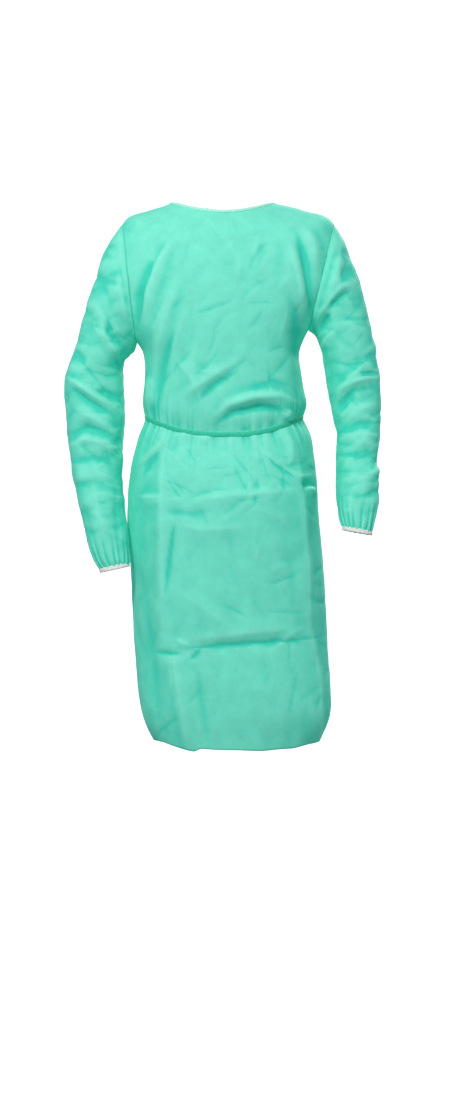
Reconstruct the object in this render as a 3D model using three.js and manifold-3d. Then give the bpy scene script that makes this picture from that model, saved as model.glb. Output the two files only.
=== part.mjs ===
// A long-sleeved patient gown that ties at the back of the neck and waist, as it hangs when worn.
// Millimetres, +Z up, front towards -Y, the wearer's right hand towards -X.
// The origin is level with the shoulders' highest points, in the middle of the neck opening.
import * as THREE from "three";
import { mergeVertices } from "three/addons/utils/BufferGeometryUtils.js";
import Module from "manifold-3d";

const wasm = await Module();
wasm.setup();

// ---------------------------------------------------------------- driving dimensions
const GOWN_LENGTH = 1052; // shoulder point down to the front of the hem
const GOWN_WIDTH = 371; // across the hips
const GOWN_DEPTH = 256; // front to back at the hips
const FABRIC = 1.2; // fabric as modelled; the real sheet is under half a millimetre
const SEAM = 0.6; // clearance between two pieces that are sewn edge to edge
const LIE = 0.9; // clearance under a tape that lies on the fabric
const SIDE_SEAM = THREE.MathUtils.degToRad(97); // side seams, measured round from the front
const BACK_OVERLAP = 28; // each back edge passes the middle by this much
const LAYER_GAP = 5; // air between the outer and the inner back edge
const FOLD_TOP = 84; // the back folds open along a line this far from the middle at the neck
const FOLD_FLARE = 14; // and this much further out at the hem
const TIE_WIDTH = 8; // waist tie
const TIE_THICK = 1.4;
const TIE_LIE = 1.7; // the waist tie bridges the folds it draws in
const BINDING_WIDTH = 6; // neck binding
const BINDING_THICK = 1.6;
const WRIST_WIDTH = 8; // white elastic at each wrist
const WRIST_THICK = 1.8;
const SEAM_ALLOWANCE = 3; // folded edge inside each sewn seam
const SEAM_THICK = 1.2;
const TACK_LENGTH = 3; // stitches that hold the waist tie at the front
const WAIST_TAIL = 235; // free ends below the waist bow
const NECK_TAIL = 150; // free ends below the neck bow
const WAIST_LOOP = 50; // reach of each loop of the waist bow
const NECK_LOOP = 36; // reach of each loop of the neck bow
const WAIST_KNOT = 7; // half the width of each knot
const NECK_KNOT = 5.5;
const KNOT_GAP = 3; // from each knot to the outer back edge
const KNOT_LIFT = 6.5; // the knots' middles stand this far off the back
const LOOP_GAP = 3.4; // between the two layers of a loop
const TAIL_LIFT = LAYER_GAP + FABRIC + 3; // the free ends hang this far off the back

// The rings below are drawn for a gown of this size, then stretched to the driving dimensions.
const DRAWN = { width: 371, depth: 256, length: 1052 };
const WIDER = GOWN_WIDTH / DRAWN.width;
const DEEPER = GOWN_DEPTH / DRAWN.depth;
const LONGER = GOWN_LENGTH / DRAWN.length;

// Rings of the body from the neckline to the hem. right and left are half widths, front and
// back are depths, sideZ, foreZ and rearZ are the heights at the sides, front and back, and
// square says how boxy the ring is: 2 is an ellipse.
const DRAWN_BODY = [
  { right: 105, left: 95, front: 78, back: 70, sideZ: -1, foreZ: -26, rearZ: -8, square: 2.0 },
  { right: 150, left: 154, front: 100, back: 92, sideZ: -16, foreZ: -72, rearZ: -62, square: 2.2 },
  { right: 198, left: 212, front: 114, back: 104, sideZ: -42, foreZ: -118, rearZ: -110, square: 2.3 },
  { right: 229, left: 217, front: 122, back: 111, sideZ: -150, foreZ: -175, rearZ: -170, square: 2.4 },
  { right: 192, left: 165, front: 125, back: 114, sideZ: -242, foreZ: -245, rearZ: -240, square: 2.4 },
  { right: 158, left: 147, front: 123, back: 111, sideZ: -292, foreZ: -300, rearZ: -295, square: 2.4 },
  { right: 155, left: 150, front: 118, back: 104, sideZ: -350, foreZ: -365, rearZ: -350, square: 2.4 },
  { right: 158, left: 157, front: 113, back: 100, sideZ: -388, foreZ: -414, rearZ: -384, square: 2.4 },
  { right: 154, left: 150, front: 102, back: 96, sideZ: -412, foreZ: -448, rearZ: -408, square: 2.5 },
  { right: 154, left: 150, front: 102, back: 96, sideZ: -424, foreZ: -460, rearZ: -420, square: 2.5 },
  { right: 169, left: 166, front: 112, back: 104, sideZ: -458, foreZ: -487, rearZ: -455, square: 2.4 },
  { right: 184, left: 176, front: 126, back: 116, sideZ: -520, foreZ: -530, rearZ: -515, square: 2.3 },
  { right: 189, left: 182, front: 131, back: 125, sideZ: -610, foreZ: -610, rearZ: -610, square: 2.3 },
  { right: 181, left: 192, front: 131, back: 123, sideZ: -740, foreZ: -740, rearZ: -740, square: 2.3 },
  { right: 174, left: 200, front: 129, back: 119, sideZ: -880, foreZ: -880, rearZ: -880, square: 2.3 },
  { right: 162, left: 205, front: 127, back: 116, sideZ: -985, foreZ: -990, rearZ: -988, square: 2.3 },
  { right: 138, left: 182, front: 122, back: 110, sideZ: -1042, foreZ: -1052, rearZ: -1050, square: 2.3 },
];
const BODY_RINGS = DRAWN_BODY.map((ring) => ({
  right: ring.right * WIDER,
  left: ring.left * WIDER,
  front: ring.front * DEEPER,
  back: ring.back * DEEPER,
  sideZ: ring.sideZ * LONGER,
  foreZ: ring.foreZ * LONGER,
  rearZ: ring.rearZ * LONGER,
  square: ring.square,
}));
const HEM = BODY_RINGS.length - 1;
const WAIST = 8.5; // the waist tie lies between these two rings
const NECK_BACK = BODY_RINGS[0].rearZ - 2; // just under the neckline at the back
const ARMPIT = 5; // the first ring below the armholes
const SHOULDER_POINT = 2; // the ring at the top of the armholes

// Rings of each sleeve from the shoulder to the wrist, seen from the front: the [x, z] of the
// outer and the inner edge, how far it is back (y) and its half depth. The first is the armhole.
const DRAWN_SLEEVES = {
  right: [
    { outer: [-196, -48], inner: [-171, -278], y: 0, depth: 80 },
    { outer: [-232, -90], inner: [-176, -287], y: 0, depth: 80 },
    { outer: [-262, -175], inner: [-186, -295], y: -2, depth: 74 },
    { outer: [-288, -270], inner: [-196, -312], y: -4, depth: 68 },
    { outer: [-311, -340], inner: [-198, -347], y: -6, depth: 64 },
    { outer: [-309, -410], inner: [-194, -414], y: -10, depth: 62 },
    { outer: [-302, -480], inner: [-199, -486], y: -18, depth: 57 },
    { outer: [-291, -550], inner: [-196, -562], y: -36, depth: 52 },
    { outer: [-275, -620], inner: [-186, -634], y: -58, depth: 46 },
    { outer: [-256, -680], inner: [-183, -690], y: -72, depth: 38 },
    { outer: [-239, -712], inner: [-185, -700], y: -78, depth: 29 },
  ],
  left: [
    { outer: [211, -41], inner: [163, -243], y: 0, depth: 75 },
    { outer: [238, -88], inner: [171, -254], y: 0, depth: 75 },
    { outer: [264, -160], inner: [179, -266], y: -1, depth: 70 },
    { outer: [281, -232], inner: [187, -286], y: -3, depth: 65 },
    { outer: [298, -315], inner: [194, -327], y: -6, depth: 61 },
    { outer: [303, -378], inner: [202, -382], y: -12, depth: 58 },
    { outer: [300, -440], inner: [214, -446], y: -30, depth: 52 },
    { outer: [293, -510], inner: [213, -520], y: -60, depth: 48 },
    { outer: [293, -575], inner: [212, -578], y: -90, depth: 45 },
    { outer: [284, -618], inner: [217, -612], y: -110, depth: 38 },
    { outer: [277, -641], inner: [223, -631], y: -120, depth: 29 },
  ],
};
const stretched = ([x, z]) => [x * WIDER, z * LONGER];
const sleeveToSize = (ring) => ({
  outer: stretched(ring.outer),
  inner: stretched(ring.inner),
  y: ring.y * DEEPER,
  depth: ring.depth * DEEPER,
});
const SLEEVE_RINGS = {
  right: DRAWN_SLEEVES.right.map(sleeveToSize),
  left: DRAWN_SLEEVES.left.map(sleeveToSize),
};
const SLEEVE_SQUARE = 2.2; // how boxy the sleeve's rings are
const ARMHOLE_DEPTH = 50; // the armhole cut goes this far below the armpit

// How finely the soft surfaces are divided.
const ROWS_PER_RING = 2;
const FRONT_COLUMNS = 20;
const SIDE_COLUMNS = 4;
const FLAP_COLUMNS = 6;
const SLEEVE_COLUMNS = 20;
const TAPE_STEPS = 14;

const SIGN = { right: -1, left: 1 };
const BACKWARD = new THREE.Vector3(0, 1, 0);

// ---------------------------------------------------------------- materials
const cloth = (color, roughness) => new THREE.MeshStandardMaterial({ color, roughness, metalness: 0 });
const NONWOVEN = cloth(0x66d3b3, 0.85);
const TIE_TAPE = cloth(0x3cc6a2, 0.8);
const BINDING_TAPE = cloth(0x86dcc3, 0.8);
const WHITE_ELASTIC = cloth(0xf1f5f6, 0.9);

// ---------------------------------------------------------------- solids
// A closed solid through a row of closed sections. Unless the row itself closes, each end is
// capped by joining the section's first half to its second half, point by point.
function loft(sections, rowCloses = false) {
  const around = sections[0].length;
  const faces = [];
  const spans = rowCloses ? sections.length : sections.length - 1;
  for (let i = 0; i < spans; i++) {
    const next = ((i + 1) % sections.length) * around;
    for (let j = 0; j < around; j++) {
      const k = (j + 1) % around;
      faces.push(i * around + j, i * around + k, next + k);
      faces.push(i * around + j, next + k, next + j);
    }
  }
  if (!rowCloses) {
    const last = (sections.length - 1) * around;
    for (let j = 0; j < around / 2 - 1; j++) {
      const k = around - 1 - j;
      faces.push(j, k - 1, j + 1, j, k, k - 1);
      faces.push(last + j, last + j + 1, last + k - 1, last + j, last + k - 1, last + k);
    }
  }
  const geometry = new THREE.BufferGeometry().setFromPoints(sections.flat()).setIndex(faces);
  return facingOut(geometry);
}

// Turns every face round if the solid is inside out.
function facingOut(geometry) {
  const position = geometry.getAttribute("position");
  const index = geometry.index.array;
  const corners = [new THREE.Vector3(), new THREE.Vector3(), new THREE.Vector3()];
  let volume = 0;
  for (let i = 0; i < index.length; i += 3) {
    corners.forEach((corner, k) => corner.fromBufferAttribute(position, index[i + k]));
    volume += corners[0].dot(corners[1].cross(corners[2]));
  }
  if (volume < 0) index.reverse();
  geometry.computeVertexNormals();
  return geometry;
}

function toSolid(geometry) {
  const bare = new THREE.BufferGeometry().setAttribute("position", geometry.getAttribute("position"));
  if (geometry.index) bare.setIndex(geometry.index);
  const merged = mergeVertices(bare, 1e-3);
  const mesh = new wasm.Mesh({
    numProp: 3,
    vertProperties: new Float32Array(merged.getAttribute("position").array),
    triVerts: new Uint32Array(merged.index.array),
  });
  return new wasm.Manifold(mesh);
}

function toGeometry(solid) {
  const mesh = solid.getMesh();
  const geometry = new THREE.BufferGeometry();
  geometry.setAttribute("position", new THREE.BufferAttribute(mesh.vertProperties, 3));
  geometry.setIndex(new THREE.BufferAttribute(mesh.triVerts, 1));
  geometry.computeVertexNormals();
  return geometry;
}

// ---------------------------------------------------------------- the body's surface
// A point of one ring. The angle runs from the front round by the wearer's left.
function ringPoint(ring, angle) {
  const sin = Math.sin(angle);
  const cos = Math.cos(angle);
  const power = 2 / ring.square;
  const half = sin < 0 ? ring.right : ring.left;
  const depth = cos > 0 ? ring.front : ring.back;
  const level = cos > 0 ? ring.foreZ : ring.rearZ;
  return new THREE.Vector3(
    half * Math.sign(sin) * Math.abs(sin) ** power,
    -depth * Math.sign(cos) * Math.abs(cos) ** power,
    ring.sideZ + (level - ring.sideZ) * cos * cos,
  );
}

// A point of the body; station counts the rings down from the neckline.
function bodyPoint(angle, station) {
  const line = new THREE.CatmullRomCurve3(BODY_RINGS.map((ring) => ringPoint(ring, angle)));
  return line.getPoint(station / HEM);
}

// The way down the body's surface, and the way out of it.
function bodyFrame(angle, station) {
  const step = 0.02;
  const high = Math.max(station - step, 0);
  const low = Math.min(station + step, HEM);
  const down = bodyPoint(angle, low).sub(bodyPoint(angle, high)).normalize();
  const round = bodyPoint(angle + step, station).sub(bodyPoint(angle - step, station));
  return { down, out: down.clone().cross(round).normalize() };
}

function onBody(angle, station, lift) {
  return bodyPoint(angle, station).addScaledVector(bodyFrame(angle, station).out, lift);
}

// The angle round one ring at which its back is this far from the middle.
const ringBackAngle = (ring, half, x) => Math.PI - Math.asin((x / half) ** (ring.square / 2));

// The same between rings. side is where the angle is measured, over is how far from the middle.
function backAngle(side, station, over) {
  const at = (i) => ringBackAngle(BODY_RINGS[i], BODY_RINGS[i][side], over);
  const upper = Math.min(Math.floor(station), HEM - 1);
  return SIGN[side] * THREE.MathUtils.lerp(at(upper), at(upper + 1), station - upper);
}

const foldReach = (z) => (FOLD_TOP + (FOLD_FLARE * Math.abs(z)) / GOWN_LENGTH) * WIDER;
function foldAngle(side, station) {
  const upper = Math.min(Math.floor(station), HEM - 1);
  const levels = [BODY_RINGS[upper].rearZ, BODY_RINGS[upper + 1].rearZ];
  const z = THREE.MathUtils.lerp(levels[0], levels[1], station - upper);
  return backAngle(side, station, foldReach(z));
}

// Where a back edge lies, past the middle on the other side.
function edgeAngle(side, station) {
  const other = side === "right" ? "left" : "right";
  return SIGN[side] * (2 * Math.PI - Math.abs(backAngle(other, station, BACK_OVERLAP)));
}

// An angle that spans this distance along the ring.
const spanAngle = (station, distance) => distance / bodyPoint(Math.PI / 2, station).x;

// How far the outer back edge stands off the body to cover the inner one.
function coverLift(angle, station) {
  const fold = foldAngle("left", station);
  const full = backAngle("left", station, BACK_OVERLAP * 1.4);
  return (LAYER_GAP + FABRIC) * THREE.MathUtils.smoothstep(angle, fold, full);
}

// ---------------------------------------------------------------- pieces of the body
// A sheet of fabric between two lines down the body.
function bodyPanel(fromAngle, toAngle, columns, liftAt = () => 0) {
  const rows = HEM * ROWS_PER_RING;
  const sections = [];
  for (let i = 0; i <= rows; i++) {
    const station = i / ROWS_PER_RING;
    const gap = spanAngle(station, SEAM / 2);
    const start = fromAngle(station);
    const end = toAngle(station);
    const turn = Math.sign(end - start);
    const outer = [];
    const inner = [];
    for (let j = 0; j <= columns; j++) {
      const angle = THREE.MathUtils.lerp(start + turn * gap, end - turn * gap, j / columns);
      const lift = liftAt(angle, station);
      outer.push(onBody(angle, station, lift));
      inner.unshift(onBody(angle, station, lift - FABRIC));
    }
    sections.push([...outer, ...inner]);
  }
  return loft(sections);
}

// A flat tape round the body; drop shifts it down the surface from the station.
function bodyTape(from, to, station, { width, low, high, drop = 0, liftAt = () => 0, steps }) {
  const sections = [];
  for (let i = 0; i <= steps; i++) {
    const angle = THREE.MathUtils.lerp(from, to, i / steps);
    const { down, out } = bodyFrame(angle, station);
    const lift = liftAt(angle, station);
    const corner = (along, off) =>
      bodyPoint(angle, station)
        .addScaledVector(down, drop + along)
        .addScaledVector(out, lift + off);
    const half = width / 2;
    sections.push([corner(-half, low), corner(half, low), corner(half, high), corner(-half, high)]);
  }
  return loft(sections);
}

// The folded fabric inside a seam that runs down the body at this angle.
function bodySeam(angle, from, to) {
  const sections = [];
  const inside = -FABRIC - LIE;
  for (let station = from; station <= to; station += 1 / ROWS_PER_RING) {
    const edge = angle - Math.sign(angle) * spanAngle(station, SEAM);
    const far = edge - Math.sign(angle) * spanAngle(station, SEAM_ALLOWANCE);
    sections.push([
      onBody(edge, station, inside),
      onBody(far, station, inside),
      onBody(far, station, inside - SEAM_THICK),
      onBody(edge, station, inside - SEAM_THICK),
    ]);
  }
  return loft(sections);
}

// ---------------------------------------------------------------- sleeves
// The armhole is a flat cut; centre is its middle and out points from the body into the sleeve.
function armhole(side) {
  const { outer, inner } = SLEEVE_RINGS[side][0];
  const along = new THREE.Vector3(inner[0] - outer[0], 0, inner[1] - outer[1]);
  const centre = new THREE.Vector3((outer[0] + inner[0]) / 2, 0, (outer[1] + inner[1]) / 2);
  const out = along.clone().cross(BACKWARD).normalize();
  if (out.x * SIGN[side] < 0) out.negate();
  return { centre, out, down: along.clone().normalize(), half: along.length() / 2 };
}

// A block on one side of the armhole's plane, from clear above the shoulder to below the armpit.
function armholeBlock(side, outward, gap) {
  const { centre, out, down, half } = armhole(side);
  const reach = 260;
  const top = half + reach;
  const bottom = half + (outward ? ARMHOLE_DEPTH : reach * 2);
  const block = new THREE.BoxGeometry(top + bottom, reach * 2, reach);
  const turn = new THREE.Matrix4().makeBasis(down, down.clone().cross(out).negate(), out);
  const middle = centre
    .clone()
    .addScaledVector(down, (bottom - top) / 2)
    .addScaledVector(out, (outward ? 1 : -1) * (reach / 2) + gap);
  block.applyMatrix4(turn.setPosition(middle));
  return toSolid(block);
}

// The body's whole skin, used to find where the armhole meets it.
function bodySkin() {
  const rows = HEM * ROWS_PER_RING;
  const round = 96;
  const points = [];
  const faces = [];
  for (let i = 0; i <= rows; i++) {
    for (let j = 0; j <= round; j++) points.push(bodyPoint((j / round) * Math.PI * 2, i / ROWS_PER_RING));
  }
  for (let i = 0; i < rows; i++) {
    for (let j = 0; j < round; j++) {
      const a = i * (round + 1) + j;
      const b = a + round + 1;
      faces.push(a, b, b + 1, a, b + 1, a + 1);
    }
  }
  const geometry = new THREE.BufferGeometry().setFromPoints(points).setIndex(faces);
  return new THREE.Mesh(geometry, new THREE.MeshBasicMaterial({ side: THREE.DoubleSide }));
}
const SKIN = bodySkin();

// A point of one sleeve ring; the angle runs from its outer edge by the front.
function sleeveRingPoint(side, number, angle) {
  const ring = SLEEVE_RINGS[side][number];
  const power = 2 / SLEEVE_SQUARE;
  const cos = Math.sign(Math.cos(angle)) * Math.abs(Math.cos(angle)) ** power;
  const sin = Math.sign(Math.sin(angle)) * Math.abs(Math.sin(angle)) ** power;
  const x = (ring.outer[0] + ring.inner[0]) / 2 + ((ring.outer[0] - ring.inner[0]) / 2) * cos;
  const z = (ring.outer[1] + ring.inner[1]) / 2 + ((ring.outer[1] - ring.inner[1]) / 2) * cos;
  const point = new THREE.Vector3(x, ring.y - ring.depth * sin, z);
  if (number > 0) return point;
  const { centre } = armhole(side);
  const ray = new THREE.Raycaster(centre, point.sub(centre).normalize());
  return ray.intersectObject(SKIN)[0].point;
}

const armholePoints = {
  right: sampleRing("right", 0),
  left: sampleRing("left", 0),
};

function sampleRing(side, number) {
  const points = [];
  for (let j = 0; j < SLEEVE_COLUMNS; j++) {
    points.push(sleeveRingPoint(side, number, (j / SLEEVE_COLUMNS) * Math.PI * 2));
  }
  return points;
}

// Rows of points down the sleeve, lifted off its surface by this much.
function sleeveGrid(side, lift) {
  const last = SLEEVE_RINGS[side].length - 1;
  const rings = SLEEVE_RINGS[side].map((_, i) => (i === 0 ? armholePoints[side] : sampleRing(side, i)));
  const rows = last * ROWS_PER_RING;
  const lines = rings[0].map((_, j) => new THREE.CatmullRomCurve3(rings.map((ring) => ring[j])));
  const grid = [];
  for (let i = 0; i <= rows; i++) grid.push(lines.map((line) => line.getPoint(i / rows)));
  const middles = grid.map((row) => row.reduce((sum, p) => sum.add(p), new THREE.Vector3()).divideScalar(row.length));
  return grid.map((row, i) =>
    row.map((point, j) => {
      const along = grid[Math.min(i + 1, rows)][j].clone().sub(grid[Math.max(i - 1, 0)][j]);
      const next = row[(j + 1) % row.length];
      const previous = row[(j + row.length - 1) % row.length];
      const out = along.cross(next.clone().sub(previous)).normalize();
      if (out.dot(point.clone().sub(middles[i])) < 0) out.negate();
      return point.clone().addScaledVector(out, lift);
    }),
  );
}

// The closed wall between two rows of rings, open at both ends.
function wall(outer, inner) {
  const sections = outer[0].map((_, j) => {
    const there = outer.map((ring) => ring[j]);
    const back = inner.map((ring) => ring[j]).reverse();
    return [...there, ...back];
  });
  return loft(sections, true);
}

function sleeve(side) {
  const tube = toSolid(wall(sleeveGrid(side, 0), sleeveGrid(side, -FABRIC)));
  return toGeometry(tube.subtract(armholeBlock(side, false, SEAM)));
}

// The elastic carries on from the sleeve's end.
function wristElastic(side) {
  const outer = sleeveGrid(side, (WRIST_THICK - FABRIC) / 2);
  const inner = sleeveGrid(side, -(WRIST_THICK + FABRIC) / 2);
  const middle = (ring) => ring.reduce((sum, p) => sum.add(p), new THREE.Vector3()).divideScalar(ring.length);
  const end = outer.length - 1;
  const along = middle(outer[end]).sub(middle(outer[end - 1])).normalize();
  const shift = (ring, far) => ring.map((point) => point.clone().addScaledVector(along, far));
  const near = SEAM;
  const far = SEAM + WRIST_WIDTH;
  return wall(
    [shift(outer[end], near), shift(outer[end], far)],
    [shift(inner[end], near), shift(inner[end], far)],
  );
}

// The folded fabric inside the underarm seam.
function underarmSeam(side) {
  const low = sleeveGrid(side, -FABRIC - LIE);
  const high = sleeveGrid(side, -FABRIC - LIE - SEAM_THICK);
  const under = SLEEVE_COLUMNS / 2;
  const sections = [];
  for (let i = 1; i < low.length; i++) {
    const forward = low[i][under - 1].clone().sub(low[i][under]).normalize();
    sections.push([
      low[i][under],
      low[i][under].clone().addScaledVector(forward, SEAM_ALLOWANCE),
      high[i][under].clone().addScaledVector(forward, SEAM_ALLOWANCE),
      high[i][under],
    ]);
  }
  return loft(sections);
}

// ---------------------------------------------------------------- ties
// A flat tape along a hand-laid route; across is the way its width lies.
function looseTape(route, across, width, thick, steps) {
  const line = new THREE.CatmullRomCurve3(route);
  const wide = across.clone().normalize().multiplyScalar(width / 2);
  const sections = line.getSpacedPoints(steps).map((point, i) => {
    const along = line.getTangentAt(i / steps);
    const out = along.cross(across).normalize().multiplyScalar(thick / 2);
    return [
      point.clone().add(wide).add(out),
      point.clone().add(wide).sub(out),
      point.clone().sub(wide).sub(out),
      point.clone().sub(wide).add(out),
    ];
  });
  return loft(sections);
}

// A point over the back of the gown, this far off its surface.
function overBack(x, z, lift) {
  const ray = new THREE.Raycaster(new THREE.Vector3(x, 400, Math.min(z, NECK_BACK)), BACKWARD.clone().negate());
  return new THREE.Vector3(x, ray.intersectObject(SKIN)[0].point.y + lift, z);
}

// One loop of a bow: out from the knot, round its tip and back over itself.
function bowLoop(knot, size, way, reach, width) {
  const slope = reach * 0.4;
  const under = KNOT_LIFT + size * 0.7;
  const over = under + LOOP_GAP;
  const route = [
    [size * 0.9, 0, under],
    [reach * 0.5, -slope * 0.4, under],
    [reach * 0.94, -slope * 0.95, under],
    [reach, -slope, (under + over) / 2],
    [reach * 0.94, -slope * 0.93, over],
    [reach * 0.5, -slope * 0.36, over],
    [size * 0.9, 0, over],
  ];
  const points = route.map(([x, z, lift]) => overBack(knot.x + way * x, knot.z + z, lift));
  return looseTape(points, new THREE.Vector3(way * slope, 0, reach), width, TIE_THICK, TAPE_STEPS);
}

// One free end of a bow, from under the knot down the back.
function bowTail(knot, size, way, length, width) {
  const route = [
    [0.75, 0],
    [1.0, 0.12],
    [1.7, 0.4],
    [1.5, 0.7],
    [2.0, 1],
  ];
  const points = route.map(([out, down]) =>
    overBack(knot.x + way * size * out, knot.z - size - LIE - length * down, TAIL_LIFT),
  );
  return looseTape(points, new THREE.Vector3(1, 0, 0), width, TIE_THICK, TAPE_STEPS);
}

function knotLump(knot, size) {
  const lump = new THREE.SphereGeometry(size, 12, 8);
  lump.scale(1, 0.62, 0.9).rotateY(0.5);
  return lump.translate(knot.x, knot.y, knot.z);
}

// ---------------------------------------------------------------- the gown
const gown = new THREE.Group();
gown.name = "patient_gown";
function add(name, geometry, material) {
  const mesh = new THREE.Mesh(geometry, material.clone());
  mesh.name = name;
  gown.add(mesh);
}

const cutForSleeve = (geometry, sides) =>
  toGeometry(sides.reduce((panel, side) => panel.subtract(armholeBlock(side, true, 0)), toSolid(geometry)));

const sideLine = (side) => () => SIGN[side] * SIDE_SEAM;
add(
  "front_panel",
  cutForSleeve(bodyPanel(sideLine("right"), sideLine("left"), FRONT_COLUMNS), ["right", "left"]),
  NONWOVEN,
);

const NECK_TAPE = {
  width: BINDING_WIDTH,
  low: -(FABRIC + BINDING_THICK) / 2,
  high: (BINDING_THICK - FABRIC) / 2,
  drop: -(BINDING_WIDTH / 2 + SEAM),
};
const WAIST_TAPE = { width: TIE_WIDTH, low: TIE_LIE, high: TIE_LIE + TIE_THICK };

for (const side of ["right", "left"]) {
  const lift = side === "left" ? coverLift : undefined;
  const fold = (station) => foldAngle(side, station);
  const edge = (station) => edgeAngle(side, station);
  const panel = bodyPanel(sideLine(side), fold, SIDE_COLUMNS);
  add(`back_panel_${side}`, cutForSleeve(panel, [side]), NONWOVEN);
  add(`back_flap_${side}`, bodyPanel(fold, edge, FLAP_COLUMNS, lift), NONWOVEN);
  add(`${side}_sleeve`, sleeve(side), NONWOVEN);
  add(`${side}_wrist_elastic`, wristElastic(side), WHITE_ELASTIC);
  add(`${side}_underarm_seam`, underarmSeam(side), NONWOVEN);
  add(`${side}_side_seam`, bodySeam(SIGN[side] * SIDE_SEAM, ARMPIT + 1, HEM), NONWOVEN);
  add(`${side}_shoulder_seam`, bodySeam(SIGN[side] * SIDE_SEAM, 0, SHOULDER_POINT - 0.5), NONWOVEN);
  const gap = SIGN[side] * spanAngle(0, SEAM / 2);
  add(
    `neck_binding_${side}`,
    bodyTape(fold(0) + gap, edge(0), 0, { ...NECK_TAPE, liftAt: lift, steps: 10 }),
    BINDING_TAPE,
  );
}

// Front runs reach from one fold line to the other.
const neckGap = spanAngle(0, SEAM / 2);
add(
  "neck_binding_front",
  bodyTape(foldAngle("right", 0) + neckGap, foldAngle("left", 0) - neckGap, 0, { ...NECK_TAPE, steps: TAPE_STEPS }),
  BINDING_TAPE,
);
const waistGap = spanAngle(WAIST, SEAM / 2);
add(
  "waist_tie_front",
  bodyTape(foldAngle("right", WAIST) + waistGap, foldAngle("left", WAIST) - waistGap, WAIST, {
    ...WAIST_TAPE,
    steps: 3 * TAPE_STEPS,
  }),
  TIE_TAPE,
);
add(
  "waist_tie_tack",
  bodyTape(-spanAngle(WAIST, TACK_LENGTH / 2), spanAngle(WAIST, TACK_LENGTH / 2), WAIST, {
    width: TACK_LENGTH,
    drop: -TIE_WIDTH / 2 - TACK_LENGTH / 2 - SEAM,
    low: TIE_LIE,
    high: TIE_LIE + TIE_THICK,
    steps: 2,
  }),
  TIE_TAPE,
);

// The knots lie just past the edge of the outer back flap.
function knotPlace(station, size, drop) {
  const angle = backAngle("right", station, BACK_OVERLAP + size + KNOT_GAP);
  const place = bodyPoint(angle, station).addScaledVector(bodyFrame(angle, station).down, drop);
  return overBack(place.x, place.z, KNOT_LIFT);
}
const waistKnot = knotPlace(WAIST, WAIST_KNOT, 0);
const neckKnot = knotPlace(0, NECK_KNOT, NECK_TAPE.drop);
add(
  "waist_tie_left",
  bodyTape(foldAngle("left", WAIST) + waistGap, edgeAngle("left", WAIST) - waistGap, WAIST, {
    ...WAIST_TAPE,
    liftAt: coverLift,
    steps: 12,
  }),
  TIE_TAPE,
);
add(
  "waist_tie_right",
  bodyTape(
    foldAngle("right", WAIST) - waistGap,
    backAngle("right", WAIST, BACK_OVERLAP + 2 * WAIST_KNOT + KNOT_GAP + SEAM),
    WAIST,
    { ...WAIST_TAPE, steps: 6 },
  ),
  TIE_TAPE,
);

const BOWS = [
  { name: "waist", knot: waistKnot, size: WAIST_KNOT, reach: WAIST_LOOP, tail: WAIST_TAIL, width: TIE_WIDTH, tape: TIE_TAPE },
  { name: "neck", knot: neckKnot, size: NECK_KNOT, reach: NECK_LOOP, tail: NECK_TAIL, width: BINDING_WIDTH, tape: BINDING_TAPE },
];
for (const { name, knot, size, reach, tail, width, tape } of BOWS) {
  add(`${name}_knot`, knotLump(knot, size), tape);
  for (const side of ["right", "left"]) {
    add(`${name}_bow_${side}`, bowLoop(knot, size, SIGN[side], reach, width), tape);
    add(`${name}_tail_${side}`, bowTail(knot, size, SIGN[side], tail + SIGN[side] * size, width), tape);
  }
}

export default gown;
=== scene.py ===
import math

import bmesh
import bpy
import numpy as np
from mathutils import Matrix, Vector, noise
from mathutils.bvhtree import BVHTree


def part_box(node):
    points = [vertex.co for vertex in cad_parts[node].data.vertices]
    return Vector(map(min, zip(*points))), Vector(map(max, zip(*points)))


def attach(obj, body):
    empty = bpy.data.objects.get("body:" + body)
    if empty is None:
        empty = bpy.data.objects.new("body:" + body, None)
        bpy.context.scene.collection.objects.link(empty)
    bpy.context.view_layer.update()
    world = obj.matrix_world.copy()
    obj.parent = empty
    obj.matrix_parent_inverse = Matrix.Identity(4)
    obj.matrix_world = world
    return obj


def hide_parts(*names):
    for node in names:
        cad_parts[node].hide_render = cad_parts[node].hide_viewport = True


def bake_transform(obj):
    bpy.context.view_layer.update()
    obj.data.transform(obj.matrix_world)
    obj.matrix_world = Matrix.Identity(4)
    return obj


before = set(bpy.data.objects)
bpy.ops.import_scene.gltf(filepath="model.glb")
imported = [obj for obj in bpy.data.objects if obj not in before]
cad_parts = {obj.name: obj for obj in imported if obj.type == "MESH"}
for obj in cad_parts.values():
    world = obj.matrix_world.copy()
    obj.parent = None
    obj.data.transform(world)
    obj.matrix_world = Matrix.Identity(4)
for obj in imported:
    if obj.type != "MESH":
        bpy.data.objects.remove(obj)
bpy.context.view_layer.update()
MM = 0.001


# ---------------------------------------------------------------- camera
def aim_camera():
    camera = bpy.data.cameras.new("camera")
    camera.lens = 75.9
    camera.sensor_width = 36
    camera.clip_end = 60
    holder = bpy.data.objects.new("camera", camera)
    holder.location = (0, -4.5, -0.672)
    holder.rotation_euler = (math.radians(90), 0, 0)
    bpy.context.scene.collection.objects.link(holder)
    bpy.context.scene.camera = holder


aim_camera()

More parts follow.
